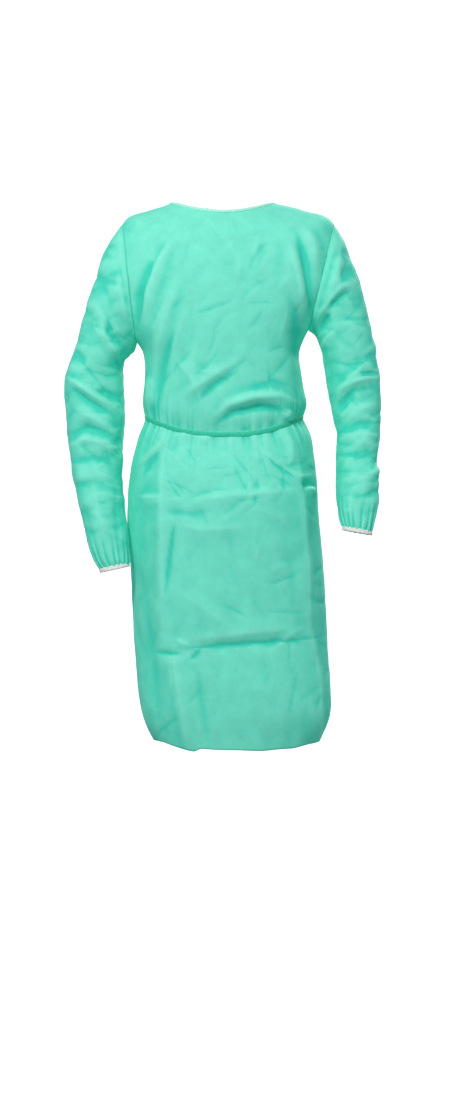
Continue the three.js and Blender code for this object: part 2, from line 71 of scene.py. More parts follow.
# ---------------------------------------------------------------- the gown's shape
# Rings of the body from the neckline to the hem, in millimetres: right and left half widths,
# front and back depths, heights at the side, front and back, and how boxy the ring is.
BODY_RINGS = np.array([
    (105, 95, 78, 70, -1, -26, -8, 2.0),
    (150, 154, 100, 92, -16, -72, -62, 2.2),
    (198, 212, 114, 104, -42, -118, -110, 2.3),
    (229, 217, 122, 111, -150, -175, -170, 2.4),
    (192, 165, 125, 114, -242, -245, -240, 2.4),
    (158, 147, 123, 111, -292, -300, -295, 2.4),
    (155, 150, 118, 104, -350, -365, -350, 2.4),
    (158, 157, 113, 100, -388, -414, -384, 2.4),
    (154, 150, 102, 96, -412, -448, -408, 2.5),
    (154, 150, 102, 96, -424, -460, -420, 2.5),
    (169, 166, 112, 104, -458, -487, -455, 2.4),
    (184, 176, 126, 116, -520, -530, -515, 2.3),
    (189, 182, 131, 125, -610, -610, -610, 2.3),
    (181, 192, 131, 123, -740, -740, -740, 2.3),
    (174, 200, 129, 119, -880, -880, -880, 2.3),
    (162, 205, 127, 116, -985, -990, -988, 2.3),
    (138, 182, 122, 110, -1042, -1052, -1050, 2.3),
], float)
HEM = len(BODY_RINGS) - 1
WAIST = 8.5
SIDE_SEAM = math.radians(97)
BACK_OVERLAP = 28
COVER = 6.2  # the outer back edge stands this far off the inner one

# Rings of each sleeve: outer x, outer z, inner x, inner z, y, half depth.
SLEEVE_RINGS = {
    "right": np.array([
        (-196, -48, -171, -278, 0, 80),
        (-232, -90, -176, -287, 0, 80),
        (-262, -175, -186, -295, -2, 74),
        (-288, -270, -196, -312, -4, 68),
        (-311, -340, -198, -347, -6, 64),
        (-309, -410, -194, -414, -10, 62),
        (-302, -480, -199, -486, -18, 57),
        (-291, -550, -196, -562, -36, 52),
        (-275, -620, -186, -634, -58, 46),
        (-256, -680, -183, -690, -72, 38),
        (-239, -712, -185, -700, -78, 29),
    ], float),
    "left": np.array([
        (211, -41, 163, -243, 0, 75),
        (238, -88, 171, -254, 0, 75),
        (264, -160, 179, -266, -1, 70),
        (281, -232, 187, -286, -3, 65),
        (298, -315, 194, -327, -6, 61),
        (303, -378, 202, -382, -12, 58),
        (300, -440, 214, -446, -30, 52),
        (293, -510, 213, -520, -60, 48),
        (293, -575, 212, -578, -90, 45),
        (284, -618, 217, -612, -110, 38),
        (277, -641, 223, -631, -120, 29),
    ], float),
}
SLEEVE_SQUARE = 2.2
SLEEVE_ROUND = 460
SIGN = {"right": -1, "left": 1}
CLOTH_STEP = 3.5  # millimetres between points of the cloth
CLOTH_THICKNESS = 0.0005


def unit(vectors):
    return vectors / np.maximum(np.linalg.norm(vectors, axis=-1, keepdims=True), 1e-9)


def gone_along(line):
    """How far along its line each point lies."""
    return np.r_[0, np.cumsum(np.linalg.norm(np.diff(line, axis=0), axis=1))]


def evenly(gone, values):
    """The values at points about CLOTH_STEP apart, from how far along the given ones lie."""
    count = round(gone[-1] / CLOTH_STEP)
    return np.interp(np.linspace(0, gone[-1], count + 1), gone, values)


def smooth_rows(rows, at):
    """Values between the rows of a table, on a smooth curve through them."""
    rows = np.asarray(rows, float)
    last = len(rows) - 1
    at = np.clip(np.asarray(at, float), 0, last)
    low = np.minimum(at.astype(int), last - 1)
    t = (at - low).reshape((-1,) + (1,) * (rows.ndim - 1))
    before, here = rows[np.maximum(low - 1, 0)], rows[low]
    there, after = rows[low + 1], rows[np.minimum(low + 2, last)]
    return 0.5 * (2 * here + (there - before) * t + (2 * before - 5 * here + 4 * there - after) * t**2
                  + (3 * here - before - 3 * there + after) * t**3)


def superellipse(angle, square):
    sin, cos = np.sin(angle), np.cos(angle)
    return (np.sign(sin) * np.abs(sin) ** (2 / square), np.sign(cos) * np.abs(cos) ** (2 / square), cos)


def body_point(angle, station):
    """Points of the body; both inputs have the same length. Angles run from the front by the left."""
    ring = smooth_rows(BODY_RINGS, station)
    right, left, front, back, side_z, fore_z, rear_z, square = ring.T
    across, forward, cos = superellipse(angle, square)
    half = np.where(across < 0, right, left)
    depth = np.where(forward > 0, front, back)
    level = np.where(forward > 0, fore_z, rear_z)
    return np.stack([half * across, -depth * forward, side_z + (level - side_z) * cos**2], axis=1)


def ring_angle_at(ring_number, side, x):
    ring = BODY_RINGS[ring_number]
    half = ring[0] if side == "right" else ring[1]
    return math.pi - math.asin((x / half) ** (ring[7] / 2))


def back_angle(side, station, x):
    """The angle at which the back is this far from the middle, on this side."""
    angles = np.array([ring_angle_at(i, side, x) for i in range(HEM + 1)])
    return SIGN[side] * np.interp(station, np.arange(HEM + 1), angles)


def edge_angle(side, station):
    """Where a back edge lies, past the middle."""
    other = "left" if side == "right" else "right"
    return SIGN[side] * (2 * math.pi - np.abs(back_angle(other, station, BACK_OVERLAP)))


def cover_lift(angle, station):
    """How far the outer back flap stands off the body to cover the inner one."""
    start, end = back_angle("left", station, 84), back_angle("left", station, 39)
    t = np.clip((angle - start) / (end - start), 0, 1)
    return COVER * t * t * (3 - 2 * t)


def even_stations():
    """Stations down the body that lie one cloth step apart."""
    fine = np.linspace(0, HEM, 1200)
    lines = [body_point(np.full(1200, a), fine) for a in (0, math.pi / 2, math.pi)]
    return evenly(np.mean([gone_along(line) for line in lines], axis=0), fine)


def even_angles(start, end):
    """Shares from 0 to 1 that lie one cloth step apart round the hips."""
    fine = np.linspace(start, end, 900)
    return evenly(gone_along(body_point(fine, np.full(900, 12.0))), np.linspace(0, 1, 900))


# ---------------------------------------------------------------- folds
# Each fold is a line of [x, z] points in millimetres seen from the front or the back, its
# height (below zero for a groove), the width of its upper or right slope and of its lower or
# left slope, and how sharp its crest is: 1 is a pressed crease, 2 a soft roll.
FRONT_FOLDS = [
    # drape from the chest to the armpits
    ([(-112, -88), (-140, -140), (-160, -190), (-168, -250)], -7, 16, 11, 1.5),
    ([(-96, -84), (-128, -128), (-146, -180), (-150, -240)], 6, 16, 12, 1.8),
    ([(-80, -150), (-112, -230), (-132, -320), (-140, -410)], 3.5, 26, 9, 1.3),
    ([(-92, -240), (-118, -330), (-130, -415)], -3, 9, 16, 1.4),
    ([(-60, -190), (-92, -270), (-104, -350)], 2.2, 24, 10, 1.3),
    ([(-48, -250), (-62, -330), (-66, -405)], 1.6, 16, 9, 1.5),
    ([(136, -66), (150, -110), (158, -160), (166, -222)], -6, 10, 14, 1.4),
    ([(118, -80), (134, -130), (146, -190), (150, -240)], 6, 14, 20, 1.8),
    ([(146, -50), (170, -95), (176, -150)], 4, 12, 12, 1.6),
    ([(120, -110), (132, -150), (142, -214)], -2.5, 8, 9, 1.4),
    ([(133, -216), (140, -262), (143, -330)], -4, 14, 18, 1.7),
    # slack above the waist tie
    ([(-88, -388), (-30, -350), (36, -306)], 3.2, 14, 9, 1.3),
    ([(-66, -402), (-20, -362), (30, -332)], -2.5, 9, 9, 1.4),
    ([(-26, -425), (8, -398), (52, -384), (104, -380), (140, -392)], 8, 11, 20, 1.4),
    ([(-18, -436), (18, -412), (66, -402), (120, -410)], -6, 12, 10, 1.5),
    ([(-104, -300), (-60, -352), (-40, -410)], 2.2, 20, 8, 1.2),
    ([(40, -372), (92, -352), (128, -362)], -1.6, 8, 10, 1.5),
    ([(128, -404), (110, -424)], 4, 7, 9, 1.3),
    ([(-142, -330), (-146, -412)], 4, 9, 12, 1.6),
    # creases just under the tie
    ([(-108, -440), (-118, -470), (-142, -492), (-170, -512)], 3.4, 8, 8, 1.1),
    ([(-118, -478), (-144, -506), (-160, -540)], -2.6, 7, 10, 1.3),
    ([(64, -486), (96, -512), (136, -540)], -2.8, 7, 8, 1.2),
    ([(58, -480), (92, -504), (128, -528)], 2.2, 9, 8, 1.3),
    ([(110, -440), (124, -470), (126, -500), (112, -520)], 3.2, 10, 8, 1.5),
    ([(-30, -454), (-34, -462), (-42, -474)], 2.4, 6, 6, 1.3),
    ([(-104, -452), (-70, -456), (-50, -452)], 2, 5, 7, 1.3),
    # puckers over the left hip
    ([(118, -524), (140, -536), (168, -530)], 3.2, 6, 7, 1.2),
    ([(134, -546), (156, -548), (176, -552)], -3.2, 6, 6, 1.2),
    ([(142, -560), (160, -556), (178, -566)], 3, 6, 7, 1.2),
    ([(146, -520), (150, -548), (142, -572)], -2.6, 7, 7, 1.3),
    # folds left by packing
    ([(-74, -596), (-48, -580), (10, -572), (80, -566), (146, -557)], 4.4, 16, 34, 1.15),
    ([(-166, -571), (-140, -574), (-112, -572)], 2.6, 7, 12, 1.2),
    ([(-120, -600), (-60, -606), (-14, -596)], -2, 12, 18, 1.5),
    ([(-96, -626), (-40, -636), (40, -630)], 2.2, 12, 16, 1.3),
    ([(-92, -610), (-99, -650), (-106, -700), (-112, -770)], -3.4, 6, 12, 1.1),
    ([(-110, -738), (-64, -766), (-20, -800), (28, -834)], 3.2, 26, 30, 1.3),
    ([(-122, -430), (-118, -600), (-118, -740), (-112, -900)], 6.5, 60, 26, 1.0),
    ([(-106, -820), (-84, -950), (-62, -1090)], 7.0, 40, 22, 1.0),
    ([(-52, -880), (-44, -960), (-30, -1050)], -3, 20, 18, 1.7),
    ([(132, -430), (142, -560), (152, -700), (164, -880)], 7, 22, 56, 1.0),
    ([(160, -800), (180, -930), (182, -1090)], 5, 16, 40, 1.1),
    ([(-104, -862), (-30, -856), (60, -850), (120, -846), (196, -838)], -4.0, 9, 13, 1.05),
    ([(-84, -846), (-20, -838), (70, -828), (150, -822)], 2.6, 20, 12, 1.4),
    ([(-138, -868), (-108, -870), (-76, -870)], -3, 7, 7, 1.1),
    ([(-70, -884), (-56, -872), (-44, -858)], -2.4, 6, 6, 1.2),
    ([(-94, -840), (-76, -852), (-60, -858)], 2, 6, 7, 1.3),
    ([(30, -880), (70, -960), (96, -1050)], 1.6, 30, 18, 1.4),
    ([(0, -860), (4, -950), (2, -1056)], 1.2, 44, 44, 1.4),
    ([(112, -880), (108, -960), (112, -1050)], 2.2, 26, 34, 1.4),
    ([(-150, -760), (-142, -880), (-118, -1020)], -4.5, 22, 20, 1.8),
    # long slow waves of the skirt
    ([(-20, -470), (-28, -600), (-10, -720)], 3.4, 60, 60, 2.0),
    ([(66, -480), (64, -640), (80, -800)], 3, 50, 50, 2.0),
    ([(-60, -480), (-74, -600), (-60, -720)], -2.4, 40, 40, 2.0),
]
BACK_FOLDS = [
    ([(-150, -90), (-128, -180), (-132, -280)], -6, 18, 14, 1.6),
    ([(150, -90), (130, -170), (138, -250)], -6, 14, 18, 1.6),
    ([(-110, -70), (-96, -190), (-104, -330), (-112, -400)], 5, 26, 18, 1.5),
    ([(104, -80), (92, -200), (96, -330), (110, -400)], 5, 20, 26, 1.5),
    ([(-60, -130), (-54, -260), (-70, -396)], 3.5, 18, 22, 1.7),
    ([(64, -120), (60, -250), (66, -396)], -3.5, 18, 18, 1.7),
    ([(-132, -398), (-84, -376), (-40, -384)], 6, 10, 16, 1.4),
    ([(40, -386), (88, -372), (134, -392)], 6, 10, 16, 1.4),
    ([(-120, -440), (-132, -520), (-140, -640)], 5, 18, 24, 1.5),
    ([(-84, -440), (-86, -560), (-96, -700)], -4, 18, 22, 1.7),
    ([(96, -440), (108, -540), (112, -690)], 5, 20, 20, 1.5),
    ([(62, -440), (66, -540), (60, -660)], -3.5, 16, 20, 1.7),
    ([(-120, -600), (-120, -800), (-112, -1050)], 6, 40, 30, 1.0),
    ([(126, -600), (134, -800), (140, -1050)], 6, 30, 42, 1.0),
    ([(-150, -850), (-60, -846), (-30, -848)], -3.6, 13, 14, 1.15),
    ([(-24, -848), (70, -850), (170, -846)], -3.6, 13, 14, 1.15),
    ([(-160, -574), (-90, -570), (-30, -576)], 3.4, 16, 24, 1.15),
    ([(-24, -576), (80, -570), (170, -566)], 3.4, 16, 24, 1.15),
    ([(-70, -620), (-50, -700), (-64, -800)], 2.4, 20, 20, 1.5),
    ([(40, -640), (60, -720), (50, -820)], 2.4, 20, 20, 1.5),
    ([(-96, -900), (-80, -980), (-90, -1050)], -3, 22, 22, 1.7),
    ([(80, -900), (70, -980), (84, -1050)], -3, 22, 22, 1.7),
]
SLEEVE_FOLDS = {
    "right": [
        ([(-262, -130), (-232, -170), (-214, -214)], -2, 14, 14, 1.5),
        ([(-276, -190), (-244, -212), (-226, -244)], 2.6, 10, 12, 1.3),
        ([(-226, -226), (-218, -262), (-192, -288)], -6, 10, 12, 1.3),
        ([(-236, -226), (-232, -262), (-208, -300), (-192, -312)], 5, 12, 12, 1.4),
        ([(-204, -140), (-196, -200), (-186, -252)], 4, 10, 14, 1.6),
        ([(-296, -276), (-280, -306), (-262, -326)], -3, 12, 12, 1.4),
        ([(-312, -336), (-288, -352), (-248, -382), (-200, -408)], 6.5, 10, 15, 1.2),
        ([(-300, -356), (-262, -388), (-214, -416)], -5, 11, 10, 1.3),
        ([(-252, -366), (-222, -374), (-198, -392)], -5, 10, 9, 1.3),
        ([(-290, -400), (-250, -424), (-206, -446)], 3.5, 14, 14, 1.4),
        ([(-304, -452), (-262, -440), (-214, -452)], -4, 10, 14, 1.4),
        ([(-306, -476), (-270, -462), (-226, -470), (-200, -488)], 4, 9, 13, 1.3),
        ([(-296, -506), (-250, -498), (-206, -512)], -3, 12, 12, 1.5),
        ([(-290, -540), (-244, -530), (-204, -540)], 2.4, 16, 14, 1.5),
        ([(-254, -540), (-240, -600), (-226, -670)], 3, 14, 18, 1.4),
        ([(-276, -570), (-262, -620), (-244, -680)], -2.4, 14, 14, 1.6),
        ([(-210, -560), (-204, -620), (-204, -680)], -2.4, 12, 12, 1.6),
    ],
    "left": [
        ([(252, -158), (222, -172), (200, -198), (176, -232)], 5.5, 9, 14, 1.2),
        ([(244, -172), (216, -192), (192, -222)], -5, 11, 9, 1.3),
        ([(224, -90), (216, -140), (196, -200)], 4, 16, 12, 1.6),
        ([(236, -66), (234, -130), (222, -176)], -3, 16, 16, 1.7),
        ([(206, -214), (188, -240), (178, -262)], -5, 9, 9, 1.3),
        ([(214, -250), (196, -270), (186, -292)], 4, 10, 12, 1.4),
        ([(270, -316), (248, -336), (226, -366), (212, -396)], 6.5, 9, 15, 1.15),
        ([(300, -340), (272, -344), (250, -352), (228, -366)], 5, 7, 10, 1.15),
        ([(300, -334), (276, -336), (256, -342)], -4.5, 6, 7, 1.2),
        ([(252, -360), (228, -392), (216, -420)], -5, 10, 12, 1.4),
        ([(294, -392), (262, -404), (226, -430)], 3.2, 12, 14, 1.4),
        ([(300, -430), (262, -432), (220, -446)], -3.4, 9, 12, 1.4),
        ([(298, -456), (258, -452), (218, -462)], 3.8, 8, 12, 1.3),
        ([(296, -486), (262, -494), (220, -492)], -3, 9, 10, 1.4),
        ([(300, -508), (284, -526), (262, -534)], 3, 8, 10, 1.3),
        ([(300, -556), (278, -566), (258, -572)], -3, 7, 8, 1.3),
        ([(286, -540), (250, -536), (218, -544)], 2.8, 12, 12, 1.4),
        ([(240, -560), (238, -600), (240, -628)], 2.4, 12, 12, 1.5),
        ([(266, -560), (264, -596), (260, -628)], -2.2, 10, 10, 1.5),
    ],
}


# Where finer creases lie: lowest and highest x and z, how many, their usual slope, a seed that
# is below 10 for the front and above it for the back.
FINE = [
    ((-150, -420), (140, -200), 26, 0.9, 1),
    ((-150, -220), (150, -60), 10, 1.4, 2),
    ((-160, -560), (170, -460), 26, -0.5, 3),
    ((-170, -900), (180, -560), 26, 0.0, 4),
    ((-150, -1040), (180, -860), 16, 1.4, 5),
    ((-150, -420), (140, -200), 26, 1.2, 11),
    ((-160, -600), (170, -440), 30, -1.3, 12),
    ((-170, -1040), (180, -600), 34, 0.4, 13),
]
FOLD_STRENGTH = 1.7  # how far the folds of the table stand out


def fold_height(fold, across, down):
    """How far one fold lifts each point, from the point's [x, z] in millimetres."""
    line, height, upper, lower, sharp = fold
    line = np.array(line, float)
    best = np.full(len(across), 1e9)
    side = np.zeros(len(across))
    along = np.zeros(len(across))
    lengths = np.linalg.norm(np.diff(line, axis=0), axis=1)
    gone = 0.0
    for start, end, length in zip(line[:-1], line[1:], lengths):
        way = (end - start) / length
        dx, dz = across - start[0], down - start[1]
        t = np.clip(dx * way[0] + dz * way[1], 0, length)
        gap = np.hypot(dx - t * way[0], dz - t * way[1])
        nearer = gap < best
        best = np.where(nearer, gap, best)
        side = np.where(nearer, way[0] * dz - way[1] * dx, side)
        along = np.where(nearer, gone + t, along)
        gone += length
    if way[0] < 0:
        side = -side
    taper = np.clip(np.minimum(along, gone - along) / (0.42 * gone), 0, 1)
    taper = 0.06 + 0.94 * taper * taper * (3 - 2 * taper)
    width = np.where(side > 0, upper, lower) * (0.45 + 0.55 * taper)
    return FOLD_STRENGTH * height * taper * np.exp(-(best / width) ** sharp)


def fine_creases(points, count, seed, low, high, steepness):
    """A scatter of short, thin creases left by packing and wearing, seen from one side."""
    rng = np.random.default_rng(seed)
    lift = np.zeros(len(points))
    for _ in range(count):
        x, z = rng.uniform(low[0], high[0]), rng.uniform(low[1], high[1])
        turn = rng.normal(steepness, 0.5)
        length, bend = rng.uniform(45, 130), rng.normal(0, 0.3)
        line = [(x, z)]
        for step in range(3):
            angle = turn + bend * step
            last_x, last_z = line[-1]
            line.append((last_x + length / 3 * math.cos(angle), last_z + length / 3 * math.sin(angle)))
        height = rng.choice([-1, 1]) * rng.uniform(0.4, 1.0)
        near = (np.abs(points[:, 0] - x) < length + 20) & (np.abs(points[:, 2] - z) < length + 20)
        if near.any():
            lift[near] += fold_height((line, height, rng.uniform(3.5, 7), rng.uniform(4, 9), 1.1),
                                      points[near, 0], points[near, 2])
    return lift


def noise_at(points, size, seed):
    """Smooth noise from -1 to 1 with features of this size in millimetres."""
    shifted = points / size + seed * 17.3
    return np.array([noise.noise(Vector(p)) for p in shifted])


def crumple(points, size, seed):
    """Papery crumple: flat facets that meet in soft ridges."""
    shifted = points / size + seed * 11.7
    cells = np.array([noise.voronoi(Vector(p))[0][:2] for p in shifted])
    return np.clip((cells[:, 1] - cells[:, 0]) * 1.6, 0, 1) - 0.5


def tube_normals(tube):
    """Which way a closed tube of cloth faces, at each point of its rows."""
    down = np.gradient(tube, axis=0)
    round_ = np.roll(tube, -1, axis=1) - np.roll(tube, 1, axis=1)
    return unit(np.cross(down, round_))


def cloth_lift(points, normals):
    """The height of all folds and crumples at each point."""
    x, z = points[:, 0], points[:, 2]
    to_front = np.clip(0.5 - normals[:, 1] * 1.6, 0, 1)
    lift = np.zeros(len(points))
    for fold in FRONT_FOLDS:
        lift += fold_height(fold, x, z) * to_front
    for fold in BACK_FOLDS:
        lift += fold_height(fold, x, z) * (1 - to_front)
    for low, high, count, steepness, seed in FINE:
        seen = to_front if seed < 10 else 1 - to_front
        lift += fine_creases(points, count, seed, low, high, steepness) * seen
    lift += 2.2 * noise_at(points * (1, 1, 0.45), 70, 1)
    lift += 0.7 * noise_at(points * (1, 1, 0.7), 26, 2)
    lift += 1.0 * crumple(points * (1, 1, 0.6), 58, 3)
    lift += 0.12 * noise_at(points, 9, 4)
    return lift


def body_gathers(angle, station):
    """Small upright pleats where the waist tie draws the cloth in."""
    z = body_point(angle, station)[:, 2]
    belt = body_point(angle, np.full(len(angle), WAIST))[:, 2]
    gap = np.abs(z - belt)
    pleats = np.array([noise.noise(Vector((a * 7.5, 0.3, 0))) + 0.5 * noise.noise(Vector((a * 19, 4.1, 0)))
                       for a in angle])
    return 6.0 * pleats * np.exp(-gap / 26) * np.clip(gap / 8, 0.1, 1)


def body_cloth(angle, station, lift):
    """The draped cloth of the body, lifted off itself; which way it faces; and its folds' height."""
    step = 0.02
    here = body_point(angle, station)
    low, high = np.clip(station - step, 0, HEM), np.clip(station + step, 0, HEM)
    down = body_point(angle, high) - body_point(angle, low)
    round_ = body_point(angle + step, station) - body_point(angle - step, station)
    out = np.cross(down, round_)
    out /= np.linalg.norm(out, axis=1, keepdims=True)
    height = cloth_lift(here, out) + body_gathers(angle, station)
    neck = np.clip(station / 0.5, 0.15, 1)
    return here + out * (height * neck + lift)[:, None], out, height * neck


# ---------------------------------------------------------------- making pieces
PIECES = {}


def piece(name, build, material):
    mesh = bpy.data.meshes.new(name)
    bm = bmesh.new()
    build(bm)
    bm.to_mesh(mesh)
    bm.free()
    mesh.materials.append(material)
    mesh.shade_smooth()
    made = PIECES[name] = bpy.data.objects.new(name, mesh)
    bpy.context.scene.collection.objects.link(made)
    return made


def sided(*names):
    """Pieces by name. A name that holds {} gives its right piece and its left one."""
    return tuple(PIECES[name.format(side)] for name in names for side in (SIGN if "{}" in name else [""]))


def above_neighbours(height, size, closed):
    """How far each point of the cloth stands above the mean of its neighbourhood of this size."""
    reach = max(1, round(size / CLOTH_STEP))
    total = np.zeros(height.shape)
    padded = np.pad(height, ((reach, reach), (0, 0)), mode="edge")
    padded = np.pad(padded, ((0, 0), (reach, reach)), mode="wrap" if closed else "edge")
    for i in range(2 * reach + 1):
        for j in range(2 * reach + 1):
            total += padded[i:i + height.shape[0], j:j + height.shape[1]]
    return height - total / (2 * reach + 1) ** 2


def pressed(height, closed=False):
    """1 on a raised crease, -1 in a pressed groove: broad folds and sharp lines together; the cloth's painted
    highlight and painted shade follow it.
    """
    broad, sharp = above_neighbours(height, 16, closed), above_neighbours(height, 5, closed)
    return np.clip(broad / 2.8 + sharp / 1.3, -1, 1)


def cloth_grid(bm, points, spread, closed=False, crease=None):
    """A bmesh grid laid over rows and columns of points, in millimetres. spread is the flat
    size (across, along) that its UV map gives, in metres. crease, the painted light and shade
    of its folds, is stored on its points."""
    rows, columns = points.shape[:2]
    bmesh.ops.create_grid(bm, x_segments=columns - 1, y_segments=rows - 1, size=0.5, calc_uvs=False)
    bm.verts.ensure_lookup_table()
    sheet_map = bm.loops.layers.uv.new("cloth")
    flat = {}
    # the crease attribute carries the painted light and shade of the folds
    painted_light_and_shade = bm.verts.layers.float.new("crease")
    for vertex in bm.verts:
        column = round((vertex.co.x + 0.5) * (columns - 1))
        row = round((vertex.co.y + 0.5) * (rows - 1))
        vertex[painted_light_and_shade] = 0.0 if crease is None else float(crease[row, column])
        flat[vertex] = (column / (columns - 1) * spread[0], row / (rows - 1) * spread[1])
        vertex.co = Vector(points[row, column]) * MM
    for face in bm.faces:
        for loop in face.loops:
            loop[sheet_map].uv = flat[loop.vert]
    if closed:
        bmesh.ops.remove_doubles(bm, verts=bm.verts, dist=1e-5)


def face_away(bm, inside):
    """Turns the sheet so that its faces point away from this point or axis."""
    total = 0.0
    for face in bm.faces:
        total += face.normal.dot(face.calc_center_median() - inside(face.calc_center_median()))
    if total < 0:
        bmesh.ops.reverse_faces(bm, faces=bm.faces)


def thicken(made):
    wall = made.modifiers.new("thickness", "SOLIDIFY")
    wall.thickness = CLOTH_THICKNESS
    wall.offset = -1
    wall.use_rim = True


# ---------------------------------------------------------------- materials
def paint(hex_colour):
    """A colour as written, turned to the linear numbers that Blender takes."""
    parts = [int(hex_colour[i:i + 2], 16) / 255 for i in (1, 3, 5)]
    return (*[c / 12.92 if c <= 0.04045 else ((c + 0.055) / 1.055) ** 2.4 for c in parts], 1)


def shade(hex_colour, strength):
    """The same colour, lighter or darker."""
    parts = [min(255, round(int(hex_colour[i:i + 2], 16) * strength)) for i in (1, 3, 5)]
    return "#%02X%02X%02X" % tuple(parts)


def add_node(material, kind, settings=None, links=None):
    """Adds a node. settings go to its own values or its inputs, links to its inputs."""
    node = material.node_tree.nodes.new(kind)
    for key, value in (settings or {}).items():
        if key in node.inputs:
            node.inputs[key].default_value = value
        else:
            setattr(node, key, value)
    for key, output in (links or {}).items():
        material.node_tree.links.new(output, node.inputs[key])
    return node


def blank(name):
    material = bpy.data.materials.new(name)
    material.use_nodes = True
    material.node_tree.nodes.clear()
    return material


def ramp(material, factor, stops):
    node = add_node(material, "ShaderNodeValToRGB", links={"Fac": factor})
    bands = node.color_ramp.elements
    while len(bands) < len(stops):
        bands.new(0.5)
    for band, (place, colour) in zip(bands, stops):
        band.position = place
        band.color = colour
    return node


def finish_material(material, surface, colour, height, distance):
    """Joins colour and relief to the surface and the surface to the output."""
    bump = add_node(material, "ShaderNodeBump", {"Strength": 1.0, "Distance": distance}, {"Height": height})
    links = material.node_tree.links
    links.new(colour, surface.inputs["Base Color"])
    links.new(bump.outputs["Normal"], surface.inputs["Normal"])
    add_node(material, "ShaderNodeOutputMaterial", links={"Surface": surface.outputs["BSDF"]})
    return material


def grey(value):
    return (value, value, value, 1)


def nonwoven_cloth(name, base, light, deep, through):
    # Spunbond polypropylene non-woven: to the eye a thin, papery, matt cloth with a faint
    # cloudiness where the fibres lie thicker or thinner, and rows of tiny pressed bond points.
    # The bond points lie 1 mm apart on the cloth; they are drawn 2 mm apart to stay visible.
    material = blank(name)
    on_cloth = {"Vector": add_node(material, "ShaderNodeUVMap", {"uv_map": "cloth"}).outputs["UV"]}
    clouds = add_node(material, "ShaderNodeTexNoise",
                      {"Scale": 34.0, "Detail": 5.0, "Roughness": 0.66}, on_cloth)
    fibres = add_node(material, "ShaderNodeTexNoise",
                      {"Scale": 620.0, "Detail": 3.0, "Roughness": 0.7, "Distortion": 1.2}, on_cloth)
    points = add_node(material, "ShaderNodeTexVoronoi", {"Scale": 500.0, "Randomness": 0.12}, on_cloth)
    tone = add_node(material, "ShaderNodeMix", {"Factor": 0.42},
                    {"A": clouds.outputs["Fac"], "B": fibres.outputs["Fac"]})
    body = ramp(material, tone.outputs["Result"],
                [(0.2, paint(shade(base, 0.9))), (0.5, paint(base)), (0.8, paint(shade(base, 1.08)))])
    # painted light and shade: after the crease attribute, grooves are tinted deeper as painted shade and
    # raised creases paler as painted highlight
    folds = add_node(material, "ShaderNodeAttribute", {"attribute_name": "crease"})
    grooves = add_node(material, "ShaderNodeMapRange",
                       {"From Min": -0.05, "From Max": -1.0, "To Min": 0.0, "To Max": 0.8},
                       {"Value": folds.outputs["Fac"]})
    ridges = add_node(material, "ShaderNodeMapRange",
                      {"From Min": 0.1, "From Max": 1.0, "To Min": 0.0, "To Max": 0.26},
                      {"Value": folds.outputs["Fac"]})
    deeper = add_node(material, "ShaderNodeMixRGB", {"Color2": paint(deep)},
                      {"Fac": grooves.outputs["Result"], "Color1": body.outputs["Color"]})
    colour = add_node(material, "ShaderNodeMixRGB", {"Color2": paint(light)},
                      {"Fac": ridges.outputs["Result"], "Color1": deeper.outputs["Color"]})
    dots = ramp(material, points.outputs["Distance"], [(0.1, grey(0.0)), (0.42, grey(1.0))])
    relief = add_node(material, "ShaderNodeMix", {"Factor": 0.45},
                      {"A": dots.outputs["Color"], "B": fibres.outputs["Fac"]})
    surface = add_node(material, "ShaderNodeBsdfPrincipled", {
        "Roughness": 0.74, "Specular IOR Level": 0.28, "Sheen Weight": 0.08, "Sheen Roughness": 0.5,
        # painted glow: the cloth gives off a faint teal light of its own, standing in for light that comes
        # through thin cloth
        "Emission Color": paint(through), "Emission Strength": 0.3})
    return finish_material(material, surface, colour.outputs["Color"], relief.outputs["Result"], 0.00012)


def stitched_tape(name, base, light, deep, stitch_step):
    # Folded non-woven tape with a run of lockstitch: to the eye a slightly crisper, denser strip
    # of the same cloth with a row of small thread dashes along it.
    material = blank(name)
    on_cloth = {"Vector": add_node(material, "ShaderNodeUVMap", {"uv_map": "cloth"}).outputs["UV"]}
    fibres = add_node(material, "ShaderNodeTexNoise",
                      {"Scale": 420.0, "Detail": 4.0, "Roughness": 0.7}, on_cloth)
    colour = ramp(material, fibres.outputs["Fac"],
                  [(0.3, paint(deep)), (0.52, paint(base)), (0.76, paint(light))])
    stitches = add_node(material, "ShaderNodeTexWave", {
        "wave_type": "BANDS", "bands_direction": "Y", "Scale": 1 / (stitch_step * 3.18),
        "Distortion": 0.4, "Detail": 0.0}, on_cloth)
    relief = add_node(material, "ShaderNodeMix", {"Factor": 0.4},
                      {"A": stitches.outputs["Fac"], "B": fibres.outputs["Fac"]})
    # painted glow: the tape gives off a little light of its own, in its deeper tone
    surface = add_node(material, "ShaderNodeBsdfPrincipled", {
        "Roughness": 0.66, "Specular IOR Level": 0.34, "Sheen Weight": 0.1, "Sheen Roughness": 0.5,
        "Emission Color": paint(deep), "Emission Strength": 0.12})
    return finish_material(material, surface, colour.outputs["Color"], relief.outputs["Result"], 0.0002)


